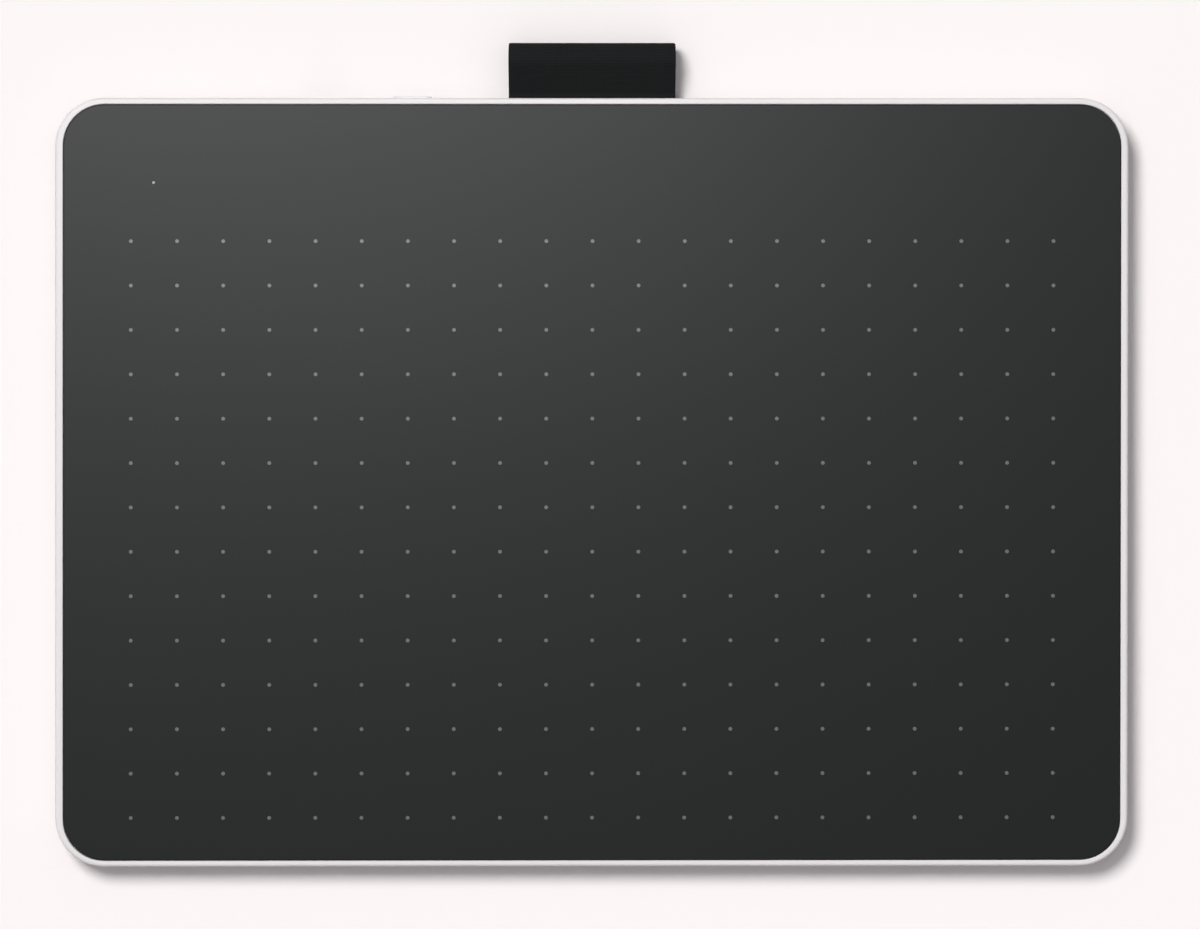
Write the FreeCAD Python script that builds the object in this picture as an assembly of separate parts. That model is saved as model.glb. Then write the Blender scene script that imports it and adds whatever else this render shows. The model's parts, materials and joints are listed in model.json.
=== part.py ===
import FreeCAD, Part
import math
import os

# A thin graphics tablet: a pale tray, a dark top cover under a matt writing sheet printed with
# a grid of dots, a status light, a woven pen loop on the rear edge, and the electronics between.
# X runs to the right, Y away from the user and Z up. The origin is on the desk, in the middle of
# the footprint, pen loop included. All sizes are millimetres.

# Two lengths this close count as equal when edges are picked
closeness = 1e-4

Vector = FreeCAD.Vector
X = Vector(1, 0, 0)
Y = Vector(0, 1, 0)
Z = Vector(0, 0, 1)

# Writing area
active_width = 216.0
active_depth = 135.0
dot_columns = 21
dot_rows = 14
dot_diameter = 0.9
ink_thickness = 0.04

# Body outline, seen from above
side_margin = 17.6
front_margin = 11.4
rear_margin = 33.4
corner_radius = 11.4
opening_corner_radius = 9.7
rim_side_width = 1.7
rim_end_width = 1.35
ledge_width = 0.8
cover_gap = 0.2
sheet_inset = 0.1

# Heights
foot_drop = 0.8
floor_thickness = 1.5
bay_height = 3.9
cover_thickness = 1.4
sheet_thickness = 0.25
sheet_recess = 0.15
belly_radius = 3.0
rim_edge_radius = 0.7
rim_chamfer = 0.15
floor_fillet = 0.4

# Feet and the case screws that they hide
foot_width = 9.0
foot_length = 34.0
foot_gap = 0.15
foot_edge_radius = 0.3
foot_recess = 0.8
foot_inset = 9.4
foot_from_end = 27.9
screw_pitch = 20.0
post_diameter = 5.6
post_wall_gap = 2.4
boss_diameter = 5.0
joint_line = 1.9
screw_diameter = 2.0
screw_length = 3.7
screw_hole_clearance = 0.2
thread_clearance = 0.04
head_diameter = 3.6
head_height = 1.2
head_bore_clearance = 0.4
head_seat = 0.7
boss_hole_end = 0.2
driver_slot_length = 2.2
driver_slot_width = 0.45
driver_slot_depth = 0.6

# Snap hooks of the top cover
hook_width = 8.0
hook_thickness = 0.9
hook_reach = 1.2
hook_wall_gap = 0.1
barb_depth = 0.5
barb_height = 0.5
barb_clearance = 0.1
front_hook_from_side = 45.6
rear_hook_from_side = 33.6
rear_hook_from_middle = 45.0

# Sensor stack, from the top cover down
sensor_margin = 5.0
adhesive_thickness = 0.2
coil_thickness = 0.05
sensor_thickness = 0.75
film_thickness = 0.1
shield_thickness = 0.4
foam_thickness = 0.4
upright_coils = 18
level_coils = 12
coil_gap = 1.0
trace_width = 0.6
coil_overrun = 2.0
sensor_corner_radius = 3.0
stack_inset = 1.5
rib_thickness = 1.2
ribs_across = 9
ribs_along = 5

# Status light
light_from_side = 22.9
light_from_rear = 19.7
light_tip_diameter = 0.6
light_stem_diameter = 1.6
light_flange_diameter = 3.0
light_flange_thickness = 0.3
light_clearance = 0.05
light_gap = 0.12
led_length = 1.6
led_width = 0.8
led_height = 0.6

# Main board
board_depth = 23.0
board_thickness = 1.0
board_wall_gap = 1.3
board_rod_gap = 8.9
board_over_port_middle = 0.35
light_in_from_left = 9.3
board_corner_radius = 1.0
board_post_diameter = 4.4
board_screw_diameter = 1.6
board_screw_length = 2.6
board_screw_head_diameter = 3.2
board_screw_head_height = 0.7
board_screw_inset = 3.4
board_hole_clearance = 0.4

# Parts on the main board
controller_size = 7.0
controller_height = 0.9
controller_in_from_left = 32.0
controller_in_from_rear = 13.0
radio_width = 13.0
radio_depth = 10.0
radio_height = 1.2
radio_in_from_left = 15.5
radio_in_from_rear = 7.0
charger_size = 4.0
charger_height = 0.8
charger_from_controller = 18.0
coil_core_size = 4.0
coil_core_height = 1.2
coil_core_from_charger = 8.0
crystal_width = 3.2
crystal_depth = 2.5
crystal_height = 0.7
passive_length = 1.0
passive_width = 0.5
passive_height = 0.5
passive_pitch = 1.5

# Sensor flex and its connector
flex_width = 20.0
flex_thickness = 0.15
flex_bend_radius = 1.2
flex_pad_length = 2.4
flex_insertion = 1.5
flex_level = 0.55
flex_slot_clearance = 0.03
flex_connector_depth = 4.0
flex_connector_height = 1.1
flex_connector_side = 1.0
flex_connector_setback = 0.3

# Battery and its lead
battery_post_gap = 9.2
battery_depth = 21.0
battery_thickness = 3.2
battery_rod_gap = 2.9
battery_wall_gap = 2.1
battery_edge_radius = 1.2
battery_rib_gap = 0.3
battery_rib_thickness = 1.0
battery_rib_height = 1.7
tape_thickness = 0.15
tape_inset = 2.0
plug_length = 4.5
plug_depth = 4.6
plug_height = 0.95
socket_length = 4.0
socket_wall = 0.5
socket_base = 0.3
socket_floor = 0.1
wire_diameter = 0.8
wire_pitch = 1.25
wire_bend_radius = 6.0
wire_straight = 9.0
wire_rest_length = 3.0
wire_rest_clearance = 0.05

# Charging port
port_in_from_right = 30.0
port_width = 8.94
port_height = 3.16
port_wall = 0.3
port_depth = 7.35
port_recess = 0.5
port_clearance = 0.2
port_tab_reach = 1.5
port_tab_length = 1.2
port_tab_thickness = 0.3
tongue_width = 6.69
tongue_thickness = 0.7
tongue_length = 5.0
tongue_base = 1.6
tongue_clearance = 0.02
contact_count = 12
contact_pitch = 0.5
contact_width = 0.25
contact_length = 3.6
contact_thickness = 0.04

# Power button and its switch
button_in_from_right = 10.0
button_width = 9.0
button_height = 2.4
button_proud = 0.35
button_clearance = 0.1
button_flange_width = 11.0
button_flange_height = 3.1
button_flange_thickness = 0.6
button_rest_gap = 0.05
button_travel = 0.3
button_edge_radius = 0.2
switch_width = 4.6
switch_depth = 2.6
switch_height = 1.4
switch_cavity_clearance = 0.05
plunger_width = 1.6
plunger_height = 0.8
plunger_proud = 0.7
plunger_tail = 0.5

# Pen loop, its tail in the slot and the rod that anchors it
strap_width = 39.0
strap_thickness = 0.7
loop_reach = 12.9
loop_half_height = 3.75
loop_pivot_out = 1.0
loop_tail_gap = 0.1
loop_seam = 1.6
slot_clearance_side = 0.3
slot_clearance_level = 0.2
slot_corner_radius = 0.5
rod_clearance = 0.03
rod_bay_clearance = 0.15
rod_wall_gap = 2.0
rod_end = 3.6
cradle_thickness = 1.8
cradle_strap_gap = 0.8
cradle_front = 1.6
cradle_clearance = 0.05
cradle_lip = 0.4
pad_depth = 1.6

# Bare recess for a label under the tray
label_width = 70.0
label_depth = 34.0
label_recess = 0.2
label_corner_radius = 2.0

# Places that follow from the sizes
body_width = active_width + 2 * side_margin
body_depth = front_margin + active_depth + rear_margin
body_y = -loop_reach / 2
front_y = body_y - body_depth / 2
rear_y = body_y + body_depth / 2
left_x = -body_width / 2
grid_y = front_y + front_margin + active_depth / 2

underside = foot_drop
floor_top = underside + floor_thickness
cover_under = floor_top + bay_height
cover_top = cover_under + cover_thickness
sheet_top = cover_top + sheet_thickness
rim_top = sheet_top + sheet_recess
recess_roof = underside + foot_recess
middle_level = (floor_top + cover_under) / 2

opening_width = body_width - 2 * rim_side_width
opening_depth = body_depth - 2 * rim_end_width
inner_rear_y = rear_y - rim_end_width - ledge_width
inner_front_y = front_y + rim_end_width + ledge_width
inner_half_width = opening_width / 2 - ledge_width

foot_x = body_width / 2 - foot_inset
foot_corners = [
    (name, side * foot_x, body_y + end * (body_depth / 2 - foot_from_end))
    for name, side, end in (
        ("foot_front_left", -1, -1),
        ("foot_front_right", 1, -1),
        ("foot_rear_left", -1, 1),
        ("foot_rear_right", 1, 1),
    )
]
post_x = inner_half_width - post_wall_gap - post_diameter / 2
post_top = floor_top + joint_line
head_seat_level = floor_top + head_seat
screw_places = [
    (math.copysign(post_x, x), y + shift)
    for _, x, y in foot_corners
    for shift in (-screw_pitch / 2, screw_pitch / 2)
]

adhesive_bottom = cover_under - adhesive_thickness
sensor_top = adhesive_bottom - coil_thickness
sensor_bottom = sensor_top - sensor_thickness
film_top = sensor_bottom - coil_thickness
shield_top = film_top - film_thickness
foam_top = shield_top - shield_thickness
rib_top = foam_top - foam_thickness
sensor_width = active_width + 2 * sensor_margin
sensor_depth = active_depth + 2 * sensor_margin
sensor_rear_y = grid_y + sensor_depth / 2
stack_width = sensor_width - 2 * stack_inset
stack_depth = sensor_depth - 2 * stack_inset

rod_half_length = strap_width / 2 + rod_end

light_x = left_x + light_from_side
light_y = rear_y - light_from_rear

board_left = light_x - light_in_from_left
board_right = -rod_half_length - board_rod_gap
board_width = board_right - board_left
board_rear = inner_rear_y - board_wall_gap
board_front = board_rear - board_depth
board_top = middle_level + board_over_port_middle
board_bottom = board_top - board_thickness
board_screw_places = [
    (x, y)
    for x in (board_left + board_screw_inset, board_right - board_screw_inset)
    for y in (board_front + board_screw_inset, board_rear - board_screw_inset)
]
controller_x = board_left + controller_in_from_left
controller_y = board_rear - controller_in_from_rear
charger_x = controller_x + charger_from_controller
coil_core_x = charger_x + coil_core_from_charger

flex_x = controller_x
connector_front = board_front + flex_connector_setback
flex_z = board_top + flex_level

battery_left = rod_half_length + battery_rod_gap
battery_right = post_x - post_diameter / 2 - battery_post_gap
battery_length = battery_right - battery_left
battery_rear = inner_rear_y - battery_wall_gap
battery_front = battery_rear - battery_depth
battery_y = (battery_front + battery_rear) / 2
battery_bottom = floor_top + tape_thickness
lead_z = battery_bottom + battery_thickness / 2
socket_x = board_right - socket_length
socket_y = (board_front + board_rear) / 2
plug_bottom = board_top + socket_base
wire_z = plug_bottom + plug_height / 2
plug_end_x = board_right + plug_length - socket_wall

port_x = board_right - port_in_from_right
port_mouth = rear_y - port_recess
port_back = port_mouth - port_depth

button_x = board_right - button_in_from_right
flange_rear = inner_rear_y - button_rest_gap
flange_front = flange_rear - button_flange_thickness
switch_rear = flange_front - plunger_proud
plunger_z = board_top + switch_height / 2

pivot_y = rear_y + loop_pivot_out
rod_radius = (bay_height - 2 * rod_bay_clearance) / 2 - strap_thickness
rod_y = inner_rear_y - rod_wall_gap
cradle_near = strap_width / 2 + cradle_strap_gap
cradle_far = cradle_near + cradle_thickness


def rounded_outline(centre, across, up, width, height, radius):
    """A rectangle with four equal corner arcs, in the plane of two unit directions."""
    edges = []
    last = None
    first = None
    for quarter, (side, end) in enumerate(((1, 1), (-1, 1), (-1, -1), (1, -1))):
        hub = (
            centre
            + across * (side * (width / 2 - radius))
            + up * (end * (height / 2 - radius))
        )
        start, middle, stop = (
            hub
            + across * (radius * math.cos(angle))
            + up * (radius * math.sin(angle))
            for angle in ((quarter + share) * math.pi / 2 for share in (0, 0.5, 1))
        )
        if last is not None and last.distanceToPoint(start) > closeness:
            edges.append(Part.makeLine(last, start))
        edges.append(Part.Arc(start, middle, stop).toShape())
        first = first or start
        last = stop
    if last.distanceToPoint(first) > closeness:
        edges.append(Part.makeLine(last, first))
    return Part.Wire(edges)


def slab(x, y, width, depth, radius, bottom, top):
    """An upright plate with rounded corners, centred on x, y."""
    outline = rounded_outline(Vector(x, y, bottom), X, Y, width, depth, radius)
    return Part.Face(outline).extrude(Z * (top - bottom))


def pill(x, z, width, height, radius, front, rear):
    """A bar along Y whose section has rounded corners, centred on x, z."""
    outline = rounded_outline(Vector(x, front, z), X, Z, width, height, radius)
    return Part.Face(outline).extrude(Y * (rear - front))


def block(x0, x1, y0, y1, z0, z1):
    """A box between two corners."""
    return Part.makeBox(x1 - x0, y1 - y0, z1 - z0, Vector(x0, y0, z0))


def centred_block(x, y, width, depth, bottom, top):
    """A box centred on x, y."""
    return block(
        x - width / 2, x + width / 2, y - depth / 2, y + depth / 2, bottom, top
    )


def disc(x, y, diameter, bottom, top):
    """An upright cylinder."""
    return Part.makeCylinder(diameter / 2, top - bottom, Vector(x, y, bottom), Z)


def edges_at(shape, level):
    """The edges of a shape that lie flat at one height."""
    return [
        edge
        for edge in shape.Edges
        if abs(edge.BoundBox.ZMin - level) < closeness
        and abs(edge.BoundBox.ZMax - level) < closeness
    ]


def opening_slab(inset, bottom, top):
    """The outline of the rim's inner edge moved in by one distance, between two heights."""
    return slab(
        0,
        body_y,
        opening_width - 2 * inset,
        opening_depth - 2 * inset,
        opening_corner_radius - inset,
        bottom,
        top,
    )


def save(name, shape):
    """Writes one named piece, as one solid or a group of separate solids."""
    if isinstance(shape, list):
        shape = Part.makeCompound(shape)
    shape.exportStep(os.path.join("parts", name + ".step"))


def edge_is_inside_opening(edge):
    """Whether every end of an edge lies on or inside the rim's inner edge."""
    return all(
        abs(vertex.X) < opening_width / 2 + closeness
        and abs(vertex.Y - body_y) < opening_depth / 2 + closeness
        for vertex in edge.Vertexes
    )


def tray_shell():
    """The tray without its inner features: curved belly, rounded rim, ledge and floor."""
    shell = slab(0, body_y, body_width, body_depth, corner_radius, underside, rim_top)
    shell = shell.makeFillet(belly_radius, edges_at(shell, underside))
    shell = shell.makeFillet(rim_edge_radius, edges_at(shell, rim_top))
    well = opening_slab(ledge_width, floor_top, rim_top)
    well = well.makeFillet(floor_fillet, edges_at(well, floor_top))
    shell = shell.cut(opening_slab(0, cover_under, rim_top)).cut(well)
    inner_rim = [e for e in edges_at(shell, rim_top) if edge_is_inside_opening(e)]
    return shell.makeChamfer(rim_chamfer, inner_rim)


def support_ribs():
    """A lattice on the tray's floor that carries the foam under the sensor."""
    ribs = []
    half_width = stack_width / 2
    half_depth = stack_depth / 2
    for i in range(ribs_across):
        x = -half_width + stack_width * (i + 0.5) / ribs_across
        ribs.append(
            centred_block(x, grid_y, rib_thickness, stack_depth, floor_top, rib_top)
        )
    for i in range(ribs_along):
        y = grid_y - half_depth + stack_depth * (i + 0.5) / ribs_along
        ribs.append(
            centred_block(0, y, stack_width, rib_thickness, floor_top, rib_top)
        )
    return ribs


def battery_ribs():
    """Low walls on the tray's floor round the battery, open where its lead comes out."""
    gap = battery_rib_gap
    wall = battery_rib_thickness
    x0 = battery_left - gap
    x1 = battery_right + gap
    y0 = battery_front - gap
    y1 = battery_rear + gap
    top = floor_top + battery_rib_height
    lead_gap = 1.5 * wire_pitch + wire_diameter
    return [
        block(x0 - wall, x1 + wall, y0 - wall, y0, floor_top, top),
        block(x0 - wall, x1 + wall, y1, y1 + wall, floor_top, top),
        block(x0 - wall, x0, y0, battery_y - lead_gap, floor_top, top),
        block(x0 - wall, x0, battery_y + lead_gap, y1, floor_top, top),
        block(x1, x1 + wall, y0, y1, floor_top, top),
    ]


def rod_cradle(side):
    """A rib off the rear wall with an open notch for one end of the loop's rod."""
    near = side * cradle_near
    far = side * cradle_far
    x0 = min(near, far)
    x1 = max(near, far)
    rib = block(
        x0,
        x1,
        rod_y - rod_radius - cradle_front,
        inner_rear_y,
        floor_top,
        middle_level + cradle_lip,
    )
    notch = rod_radius + cradle_clearance
    hole = Part.makeCylinder(notch, x1 - x0, Vector(x0, rod_y, middle_level), X)
    mouth = block(x0, x1, rod_y - notch, rod_y + notch, middle_level, cover_under)
    return rib.cut(hole).cut(mouth)


def wire_rest():
    """A low rib that carries the battery lead at its lower end."""
    x = battery_left - wire_straight / 2
    top = lead_z - wire_diameter / 2 - wire_rest_clearance
    width = 3 * wire_pitch + wire_diameter
    return centred_block(x, battery_y, wire_rest_length, width, floor_top, top)


def hook_places():
    """Where the cover's hooks are: x, the inner wall's y, and the way towards the wall."""
    front_x = body_width / 2 - front_hook_from_side
    rear_x = body_width / 2 - rear_hook_from_side
    front = [(x, inner_front_y, -1) for x in (-front_x, 0, front_x)]
    rear = [(x, inner_rear_y, 1) for x in (-rear_x, rear_hook_from_middle, rear_x)]
    return front + rear


def hook_bar(x, wall_y, way, near, far, half_width, bottom, top):
    """A box beside the wall, from near to far, both counted from the wall into the tray."""
    y0, y1 = sorted((wall_y - way * near, wall_y - way * far))
    return block(x - half_width, x + half_width, y0, y1, bottom, top)


def barb_bottom():
    """The height of the underside of the hooks' barbs."""
    return cover_under - hook_reach


def make_bottom_case():
    """The pale tray with its posts, ribs, recesses and openings."""
    added = support_ribs() + battery_ribs() + [wire_rest()]
    added += [rod_cradle(side) for side in (-1, 1)]
    added += [
        disc(x, y, post_diameter, recess_roof, post_top) for x, y in screw_places
    ]
    added += [
        disc(x, y, board_post_diameter, floor_top, board_bottom)
        for x, y in board_screw_places
    ]
    tray = tray_shell().multiFuse(added)

    removed = []
    for _, x, y in foot_corners:
        removed.append(
            slab(
                x,
                y,
                foot_width + 2 * foot_gap,
                foot_length + 2 * foot_gap,
                foot_width / 2 + foot_gap,
                0,
                recess_roof,
            )
        )
    for x, y in screw_places:
        removed.append(
            disc(x, y, head_diameter + head_bore_clearance, 0, head_seat_level)
        )
        removed.append(disc(x, y, screw_diameter + screw_hole_clearance, 0, post_top))
    for x, y in board_screw_places:
        removed.append(
            disc(
                x,
                y,
                board_screw_diameter + thread_clearance,
                board_top - board_screw_length,
                board_bottom,
            )
        )
    removed.append(
        slab(
            0,
            body_y,
            label_width,
            label_depth,
            label_corner_radius,
            0,
            underside + label_recess,
        )
    )
    removed.append(
        pill(
            port_x,
            middle_level,
            port_width + 2 * port_clearance,
            port_height + 2 * port_clearance,
            port_height / 2 + port_clearance,
            inner_rear_y - floor_fillet,
            rear_y + 1,
        )
    )
    removed.append(
        pill(
            button_x,
            middle_level,
            button_width + 2 * button_clearance,
            button_height + 2 * button_clearance,
            button_height / 2 + button_clearance,
            inner_rear_y - floor_fillet,
            rear_y + 1,
        )
    )
    slot_height = 2 * strap_thickness + 2 * slot_clearance_level
    removed.append(
        pill(
            0,
            middle_level,
            strap_width + 2 * slot_clearance_side,
            slot_height,
            slot_corner_radius,
            inner_rear_y,
            rear_y + 1,
        )
    )
    for x, wall_y, way in hook_places():
        removed.append(
            hook_bar(
                x,
                wall_y,
                way,
                -(barb_depth + barb_clearance - hook_wall_gap),
                0,
                hook_width / 2 + barb_clearance,
                barb_bottom() - barb_clearance,
                barb_bottom() + barb_height + barb_clearance,
            )
        )
    return tray.cut(Part.makeCompound(removed)).removeSplitter()


def make_top_cover():
    """The dark cover plate with its screw bosses, snap hooks and rod pads."""
    plate = opening_slab(cover_gap, cover_under, cover_top)
    added = [
        disc(x, y, boss_diameter, post_top, cover_under) for x, y in screw_places
    ]
    for x, wall_y, way in hook_places():
        half = hook_width / 2
        added.append(
            hook_bar(
                x,
                wall_y,
                way,
                hook_wall_gap,
                hook_wall_gap + hook_thickness,
                half,
                barb_bottom(),
                cover_under,
            )
        )
        added.append(
            hook_bar(
                x,
                wall_y,
                way,
                hook_wall_gap - barb_depth,
                hook_wall_gap,
                half,
                barb_bottom(),
                barb_bottom() + barb_height,
            )
        )
    for side in (-1, 1):
        added.append(
            centred_block(
                side * (cradle_near + cradle_far) / 2,
                rod_y,
                cradle_thickness,
                pad_depth,
                middle_level + rod_radius + cradle_clearance,
                cover_under,
            )
        )
    removed = [
        disc(
            x,
            y,
            screw_diameter,
            post_top,
            head_seat_level + screw_length + boss_hole_end,
        )
        for x, y in screw_places
    ]
    removed.append(
        disc(
            light_x,
            light_y,
            light_stem_diameter + 2 * light_clearance,
            cover_under,
            cover_top,
        )
    )
    return plate.multiFuse(added).cut(Part.makeCompound(removed)).removeSplitter()


def make_surface_sheet():
    """The matt writing sheet, with a pinhole for the status light."""
    sheet = opening_slab(cover_gap + sheet_inset, cover_top, sheet_top)
    hole = light_tip_diameter + 2 * light_clearance
    return sheet.cut(disc(light_x, light_y, hole, cover_top, sheet_top))


def make_grid_dots():
    """The printed dots over the writing area, each a thin spot of ink."""
    pitch_x = active_width / (dot_columns - 1)
    pitch_y = active_depth / (dot_rows - 1)
    return [
        disc(
            -active_width / 2 + column * pitch_x,
            grid_y - active_depth / 2 + row * pitch_y,
            dot_diameter,
            sheet_top,
            sheet_top + ink_thickness,
        )
        for row in range(dot_rows)
        for column in range(dot_columns)
    ]


def make_foot(x, y):
    """A rubber foot, bonded in its recess and covering two case screws."""
    foot = slab(x, y, foot_width, foot_length, foot_width / 2, 0, recess_roof)
    return foot.makeFillet(foot_edge_radius, edges_at(foot, 0))


def make_case_screws():
    """The screws that go up through the tray's posts into the cover's bosses."""
    screws = []
    shank = screw_diameter - thread_clearance
    for x, y in screw_places:
        bottom = head_seat_level - head_height
        head = disc(x, y, head_diameter, bottom, head_seat_level)
        cross = [
            centred_block(x, y, across, along, bottom, bottom + driver_slot_depth)
            for across, along in (
                (driver_slot_length, driver_slot_width),
                (driver_slot_width, driver_slot_length),
            )
        ]
        body = head.fuse(
            disc(x, y, shank, head_seat_level, head_seat_level + screw_length)
        )
        screws.append(body.cut(Part.makeCompound(cross)))
    return screws


def frame_ring(x, y, width, depth, bottom, top):
    """A flat rectangular loop of copper."""
    outer = centred_block(x, y, width, depth, bottom, top)
    inner = centred_block(
        x, y, width - 2 * trace_width, depth - 2 * trace_width, bottom, top
    )
    return outer.cut(inner)


def make_upright_coils():
    """Copper loops side by side on top of the sensor board, which sense left and right."""
    pitch = active_width / upright_coils
    return [
        frame_ring(
            -active_width / 2 + pitch * (i + 0.5),
            grid_y,
            pitch - coil_gap,
            active_depth + 2 * coil_overrun,
            sensor_top,
            adhesive_bottom,
        )
        for i in range(upright_coils)
    ]


def make_level_coils():
    """Copper loops under the sensor board, which sense up and down the page."""
    pitch = active_depth / level_coils
    return [
        frame_ring(
            0,
            grid_y - active_depth / 2 + pitch * (i + 0.5),
            active_width + 2 * coil_overrun,
            pitch - coil_gap,
            film_top,
            sensor_bottom,
        )
        for i in range(level_coils)
    ]


def make_sensor_board():
    """The thin circuit board that fills the writing area."""
    return slab(
        0,
        grid_y,
        sensor_width,
        sensor_depth,
        sensor_corner_radius,
        sensor_bottom,
        sensor_top,
    )


def stack_sheet(bottom, top):
    """A sheet of the sensor stack, a little smaller than the sensor board."""
    return slab(
        0, grid_y, stack_width, stack_depth, sensor_corner_radius, bottom, top
    )


def make_sensor_adhesive():
    """The double-sided film that bonds the sensor board up to the cover, short of the flex."""
    rear = sensor_rear_y - flex_pad_length - trace_width
    front = grid_y - stack_depth / 2
    return slab(
        0,
        (front + rear) / 2,
        stack_width,
        rear - front,
        sensor_corner_radius,
        adhesive_bottom,
        cover_under,
    )


def make_light_pipe():
    """The clear pin that carries the status light up to the pinhole in the sheet."""
    flange_bottom = cover_under - light_flange_thickness
    pin = disc(light_x, light_y, light_stem_diameter, flange_bottom, cover_top)
    tip = disc(light_x, light_y, light_tip_diameter, cover_top, sheet_top)
    flange = disc(
        light_x, light_y, light_flange_diameter, flange_bottom, cover_under
    )
    foot_bottom = board_top + led_height + light_gap
    lower = disc(light_x, light_y, light_stem_diameter, foot_bottom, flange_bottom)
    return lower.fuse([flange, pin, tip]).removeSplitter()


def make_status_led():
    """The small light on the main board under the light pipe."""
    return centred_block(
        light_x, light_y, led_length, led_width, board_top, board_top + led_height
    )


def make_main_board():
    """The controller's circuit board, notched at its rear edge for the port."""
    board = slab(
        (board_left + board_right) / 2,
        (board_front + board_rear) / 2,
        board_width,
        board_depth,
        board_corner_radius,
        board_bottom,
        board_top,
    )
    notch_half = port_width / 2 + port_clearance
    removed = [
        block(
            port_x - notch_half,
            port_x + notch_half,
            port_back - port_clearance,
            board_rear,
            board_bottom,
            board_top,
        )
    ]
    removed += [
        disc(
            x, y, board_screw_diameter + board_hole_clearance, board_bottom, board_top
        )
        for x, y in board_screw_places
    ]
    return board.cut(Part.makeCompound(removed))


def make_board_screws():
    """The screws that hold the main board down on its posts."""
    return [
        disc(
            x,
            y,
            board_screw_head_diameter,
            board_top,
            board_top + board_screw_head_height,
        ).fuse(
            disc(
                x, y, board_screw_diameter, board_top - board_screw_length, board_top
            )
        )
        for x, y in board_screw_places
    ]


def make_passives():
    """Rows of small resistors and capacitors beside the chips."""
    rows = []
    side = controller_size / 2 + passive_pitch
    for i in range(5):
        shift = (i - 2) * passive_pitch
        rows.append((controller_x - side, controller_y + shift))
        rows.append((controller_x + side, controller_y + shift))
        rows.append(
            (charger_x + shift, controller_y - charger_size / 2 - passive_pitch)
        )
    return [
        centred_block(
            x,
            y,
            passive_length,
            passive_width,
            board_top,
            board_top + passive_height,
        )
        for x, y in rows
    ]


def on_board(x, y, width, depth, height):
    """A component body that stands on the main board."""
    return centred_block(x, y, width, depth, board_top, board_top + height)


def make_flex_connector():
    """The low connector that grips the end of the sensor's flex."""
    half = flex_width / 2 + flex_connector_side
    body = block(
        flex_x - half,
        flex_x + half,
        connector_front,
        connector_front + flex_connector_depth,
        board_top,
        board_top + flex_connector_height,
    )
    slot_half = flex_thickness / 2 + flex_slot_clearance
    slot = block(
        flex_x - flex_width / 2 - flex_slot_clearance,
        flex_x + flex_width / 2 + flex_slot_clearance,
        connector_front,
        connector_front + flex_insertion + flex_slot_clearance,
        flex_z - slot_half,
        flex_z + slot_half,
    )
    return body.cut(slot)


def bent_path(points, radius):
    """Straight runs joined by tangent arcs of one radius, as a wire."""
    edges = []
    start = points[0]
    for before, corner, after in zip(points, points[1:], points[2:]):
        back = (before - corner).normalize()
        ahead = (after - corner).normalize()
        turn = math.pi - back.getAngle(ahead)
        reach = radius * math.tan(turn / 2)
        entry = corner + back * reach
        leave = corner + ahead * reach
        inward = (back + ahead).normalize()
        to_arc = radius / math.cos(turn / 2) - radius
        edges.append(Part.makeLine(start, entry))
        edges.append(Part.Arc(entry, corner + inward * to_arc, leave).toShape())
        start = leave
    edges.append(Part.makeLine(start, points[-1]))
    return Part.Wire(edges)


def make_sensor_flex():
    """The flat flex from a pad row on the sensor board down into its connector."""
    high = sensor_top + flex_thickness / 2
    bend_high = sensor_rear_y + 0.3 * (connector_front - sensor_rear_y)
    bend_low = sensor_rear_y + 0.8 * (connector_front - sensor_rear_y)
    path = bent_path(
        [
            Vector(flex_x, sensor_rear_y - flex_pad_length, high),
            Vector(flex_x, bend_high, high),
            Vector(flex_x, bend_low, flex_z),
            Vector(flex_x, connector_front + flex_insertion, flex_z),
        ],
        flex_bend_radius,
    )
    start = Vector(flex_x, sensor_rear_y - flex_pad_length, high)
    corners = [
        start + X * (a * flex_width / 2) + Z * (b * flex_thickness / 2)
        for a, b in ((-1, -1), (1, -1), (1, 1), (-1, 1), (-1, -1))
    ]
    return path.makePipeShell([Part.makePolygon(corners)], True, False)


def make_battery_pack():
    """The flat lithium cell with rounded long edges."""
    cell = block(
        battery_left,
        battery_right,
        battery_front,
        battery_rear,
        battery_bottom,
        battery_bottom + battery_thickness,
    )
    long_edges = [e for e in cell.Edges if e.BoundBox.XLength > battery_length - 1]
    return cell.makeFillet(battery_edge_radius, long_edges)


def make_battery_tape():
    """The double-sided tape between the cell and the tray's floor."""
    return block(
        battery_left + tape_inset,
        battery_right - tape_inset,
        battery_front + tape_inset,
        battery_rear - tape_inset,
        floor_top,
        battery_bottom,
    )


def make_battery_socket():
    """The open-ended socket on the main board that takes the battery's plug."""
    outer = block(
        socket_x,
        board_right,
        socket_y - plug_depth / 2 - socket_wall,
        socket_y + plug_depth / 2 + socket_wall,
        board_top,
        plug_bottom + plug_height / 2,
    )
    inside = block(
        socket_x + socket_wall,
        board_right,
        socket_y - plug_depth / 2,
        socket_y + plug_depth / 2,
        plug_bottom - socket_floor,
        plug_bottom + plug_height,
    )
    return outer.cut(inside)


def make_battery_plug():
    """The plug on the battery's lead, seated in its socket."""
    return block(
        plug_end_x - plug_length,
        plug_end_x,
        socket_y - plug_depth / 2 + socket_floor,
        socket_y + plug_depth / 2 - socket_floor,
        plug_bottom - socket_floor,
        plug_bottom + plug_height,
    )


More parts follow.
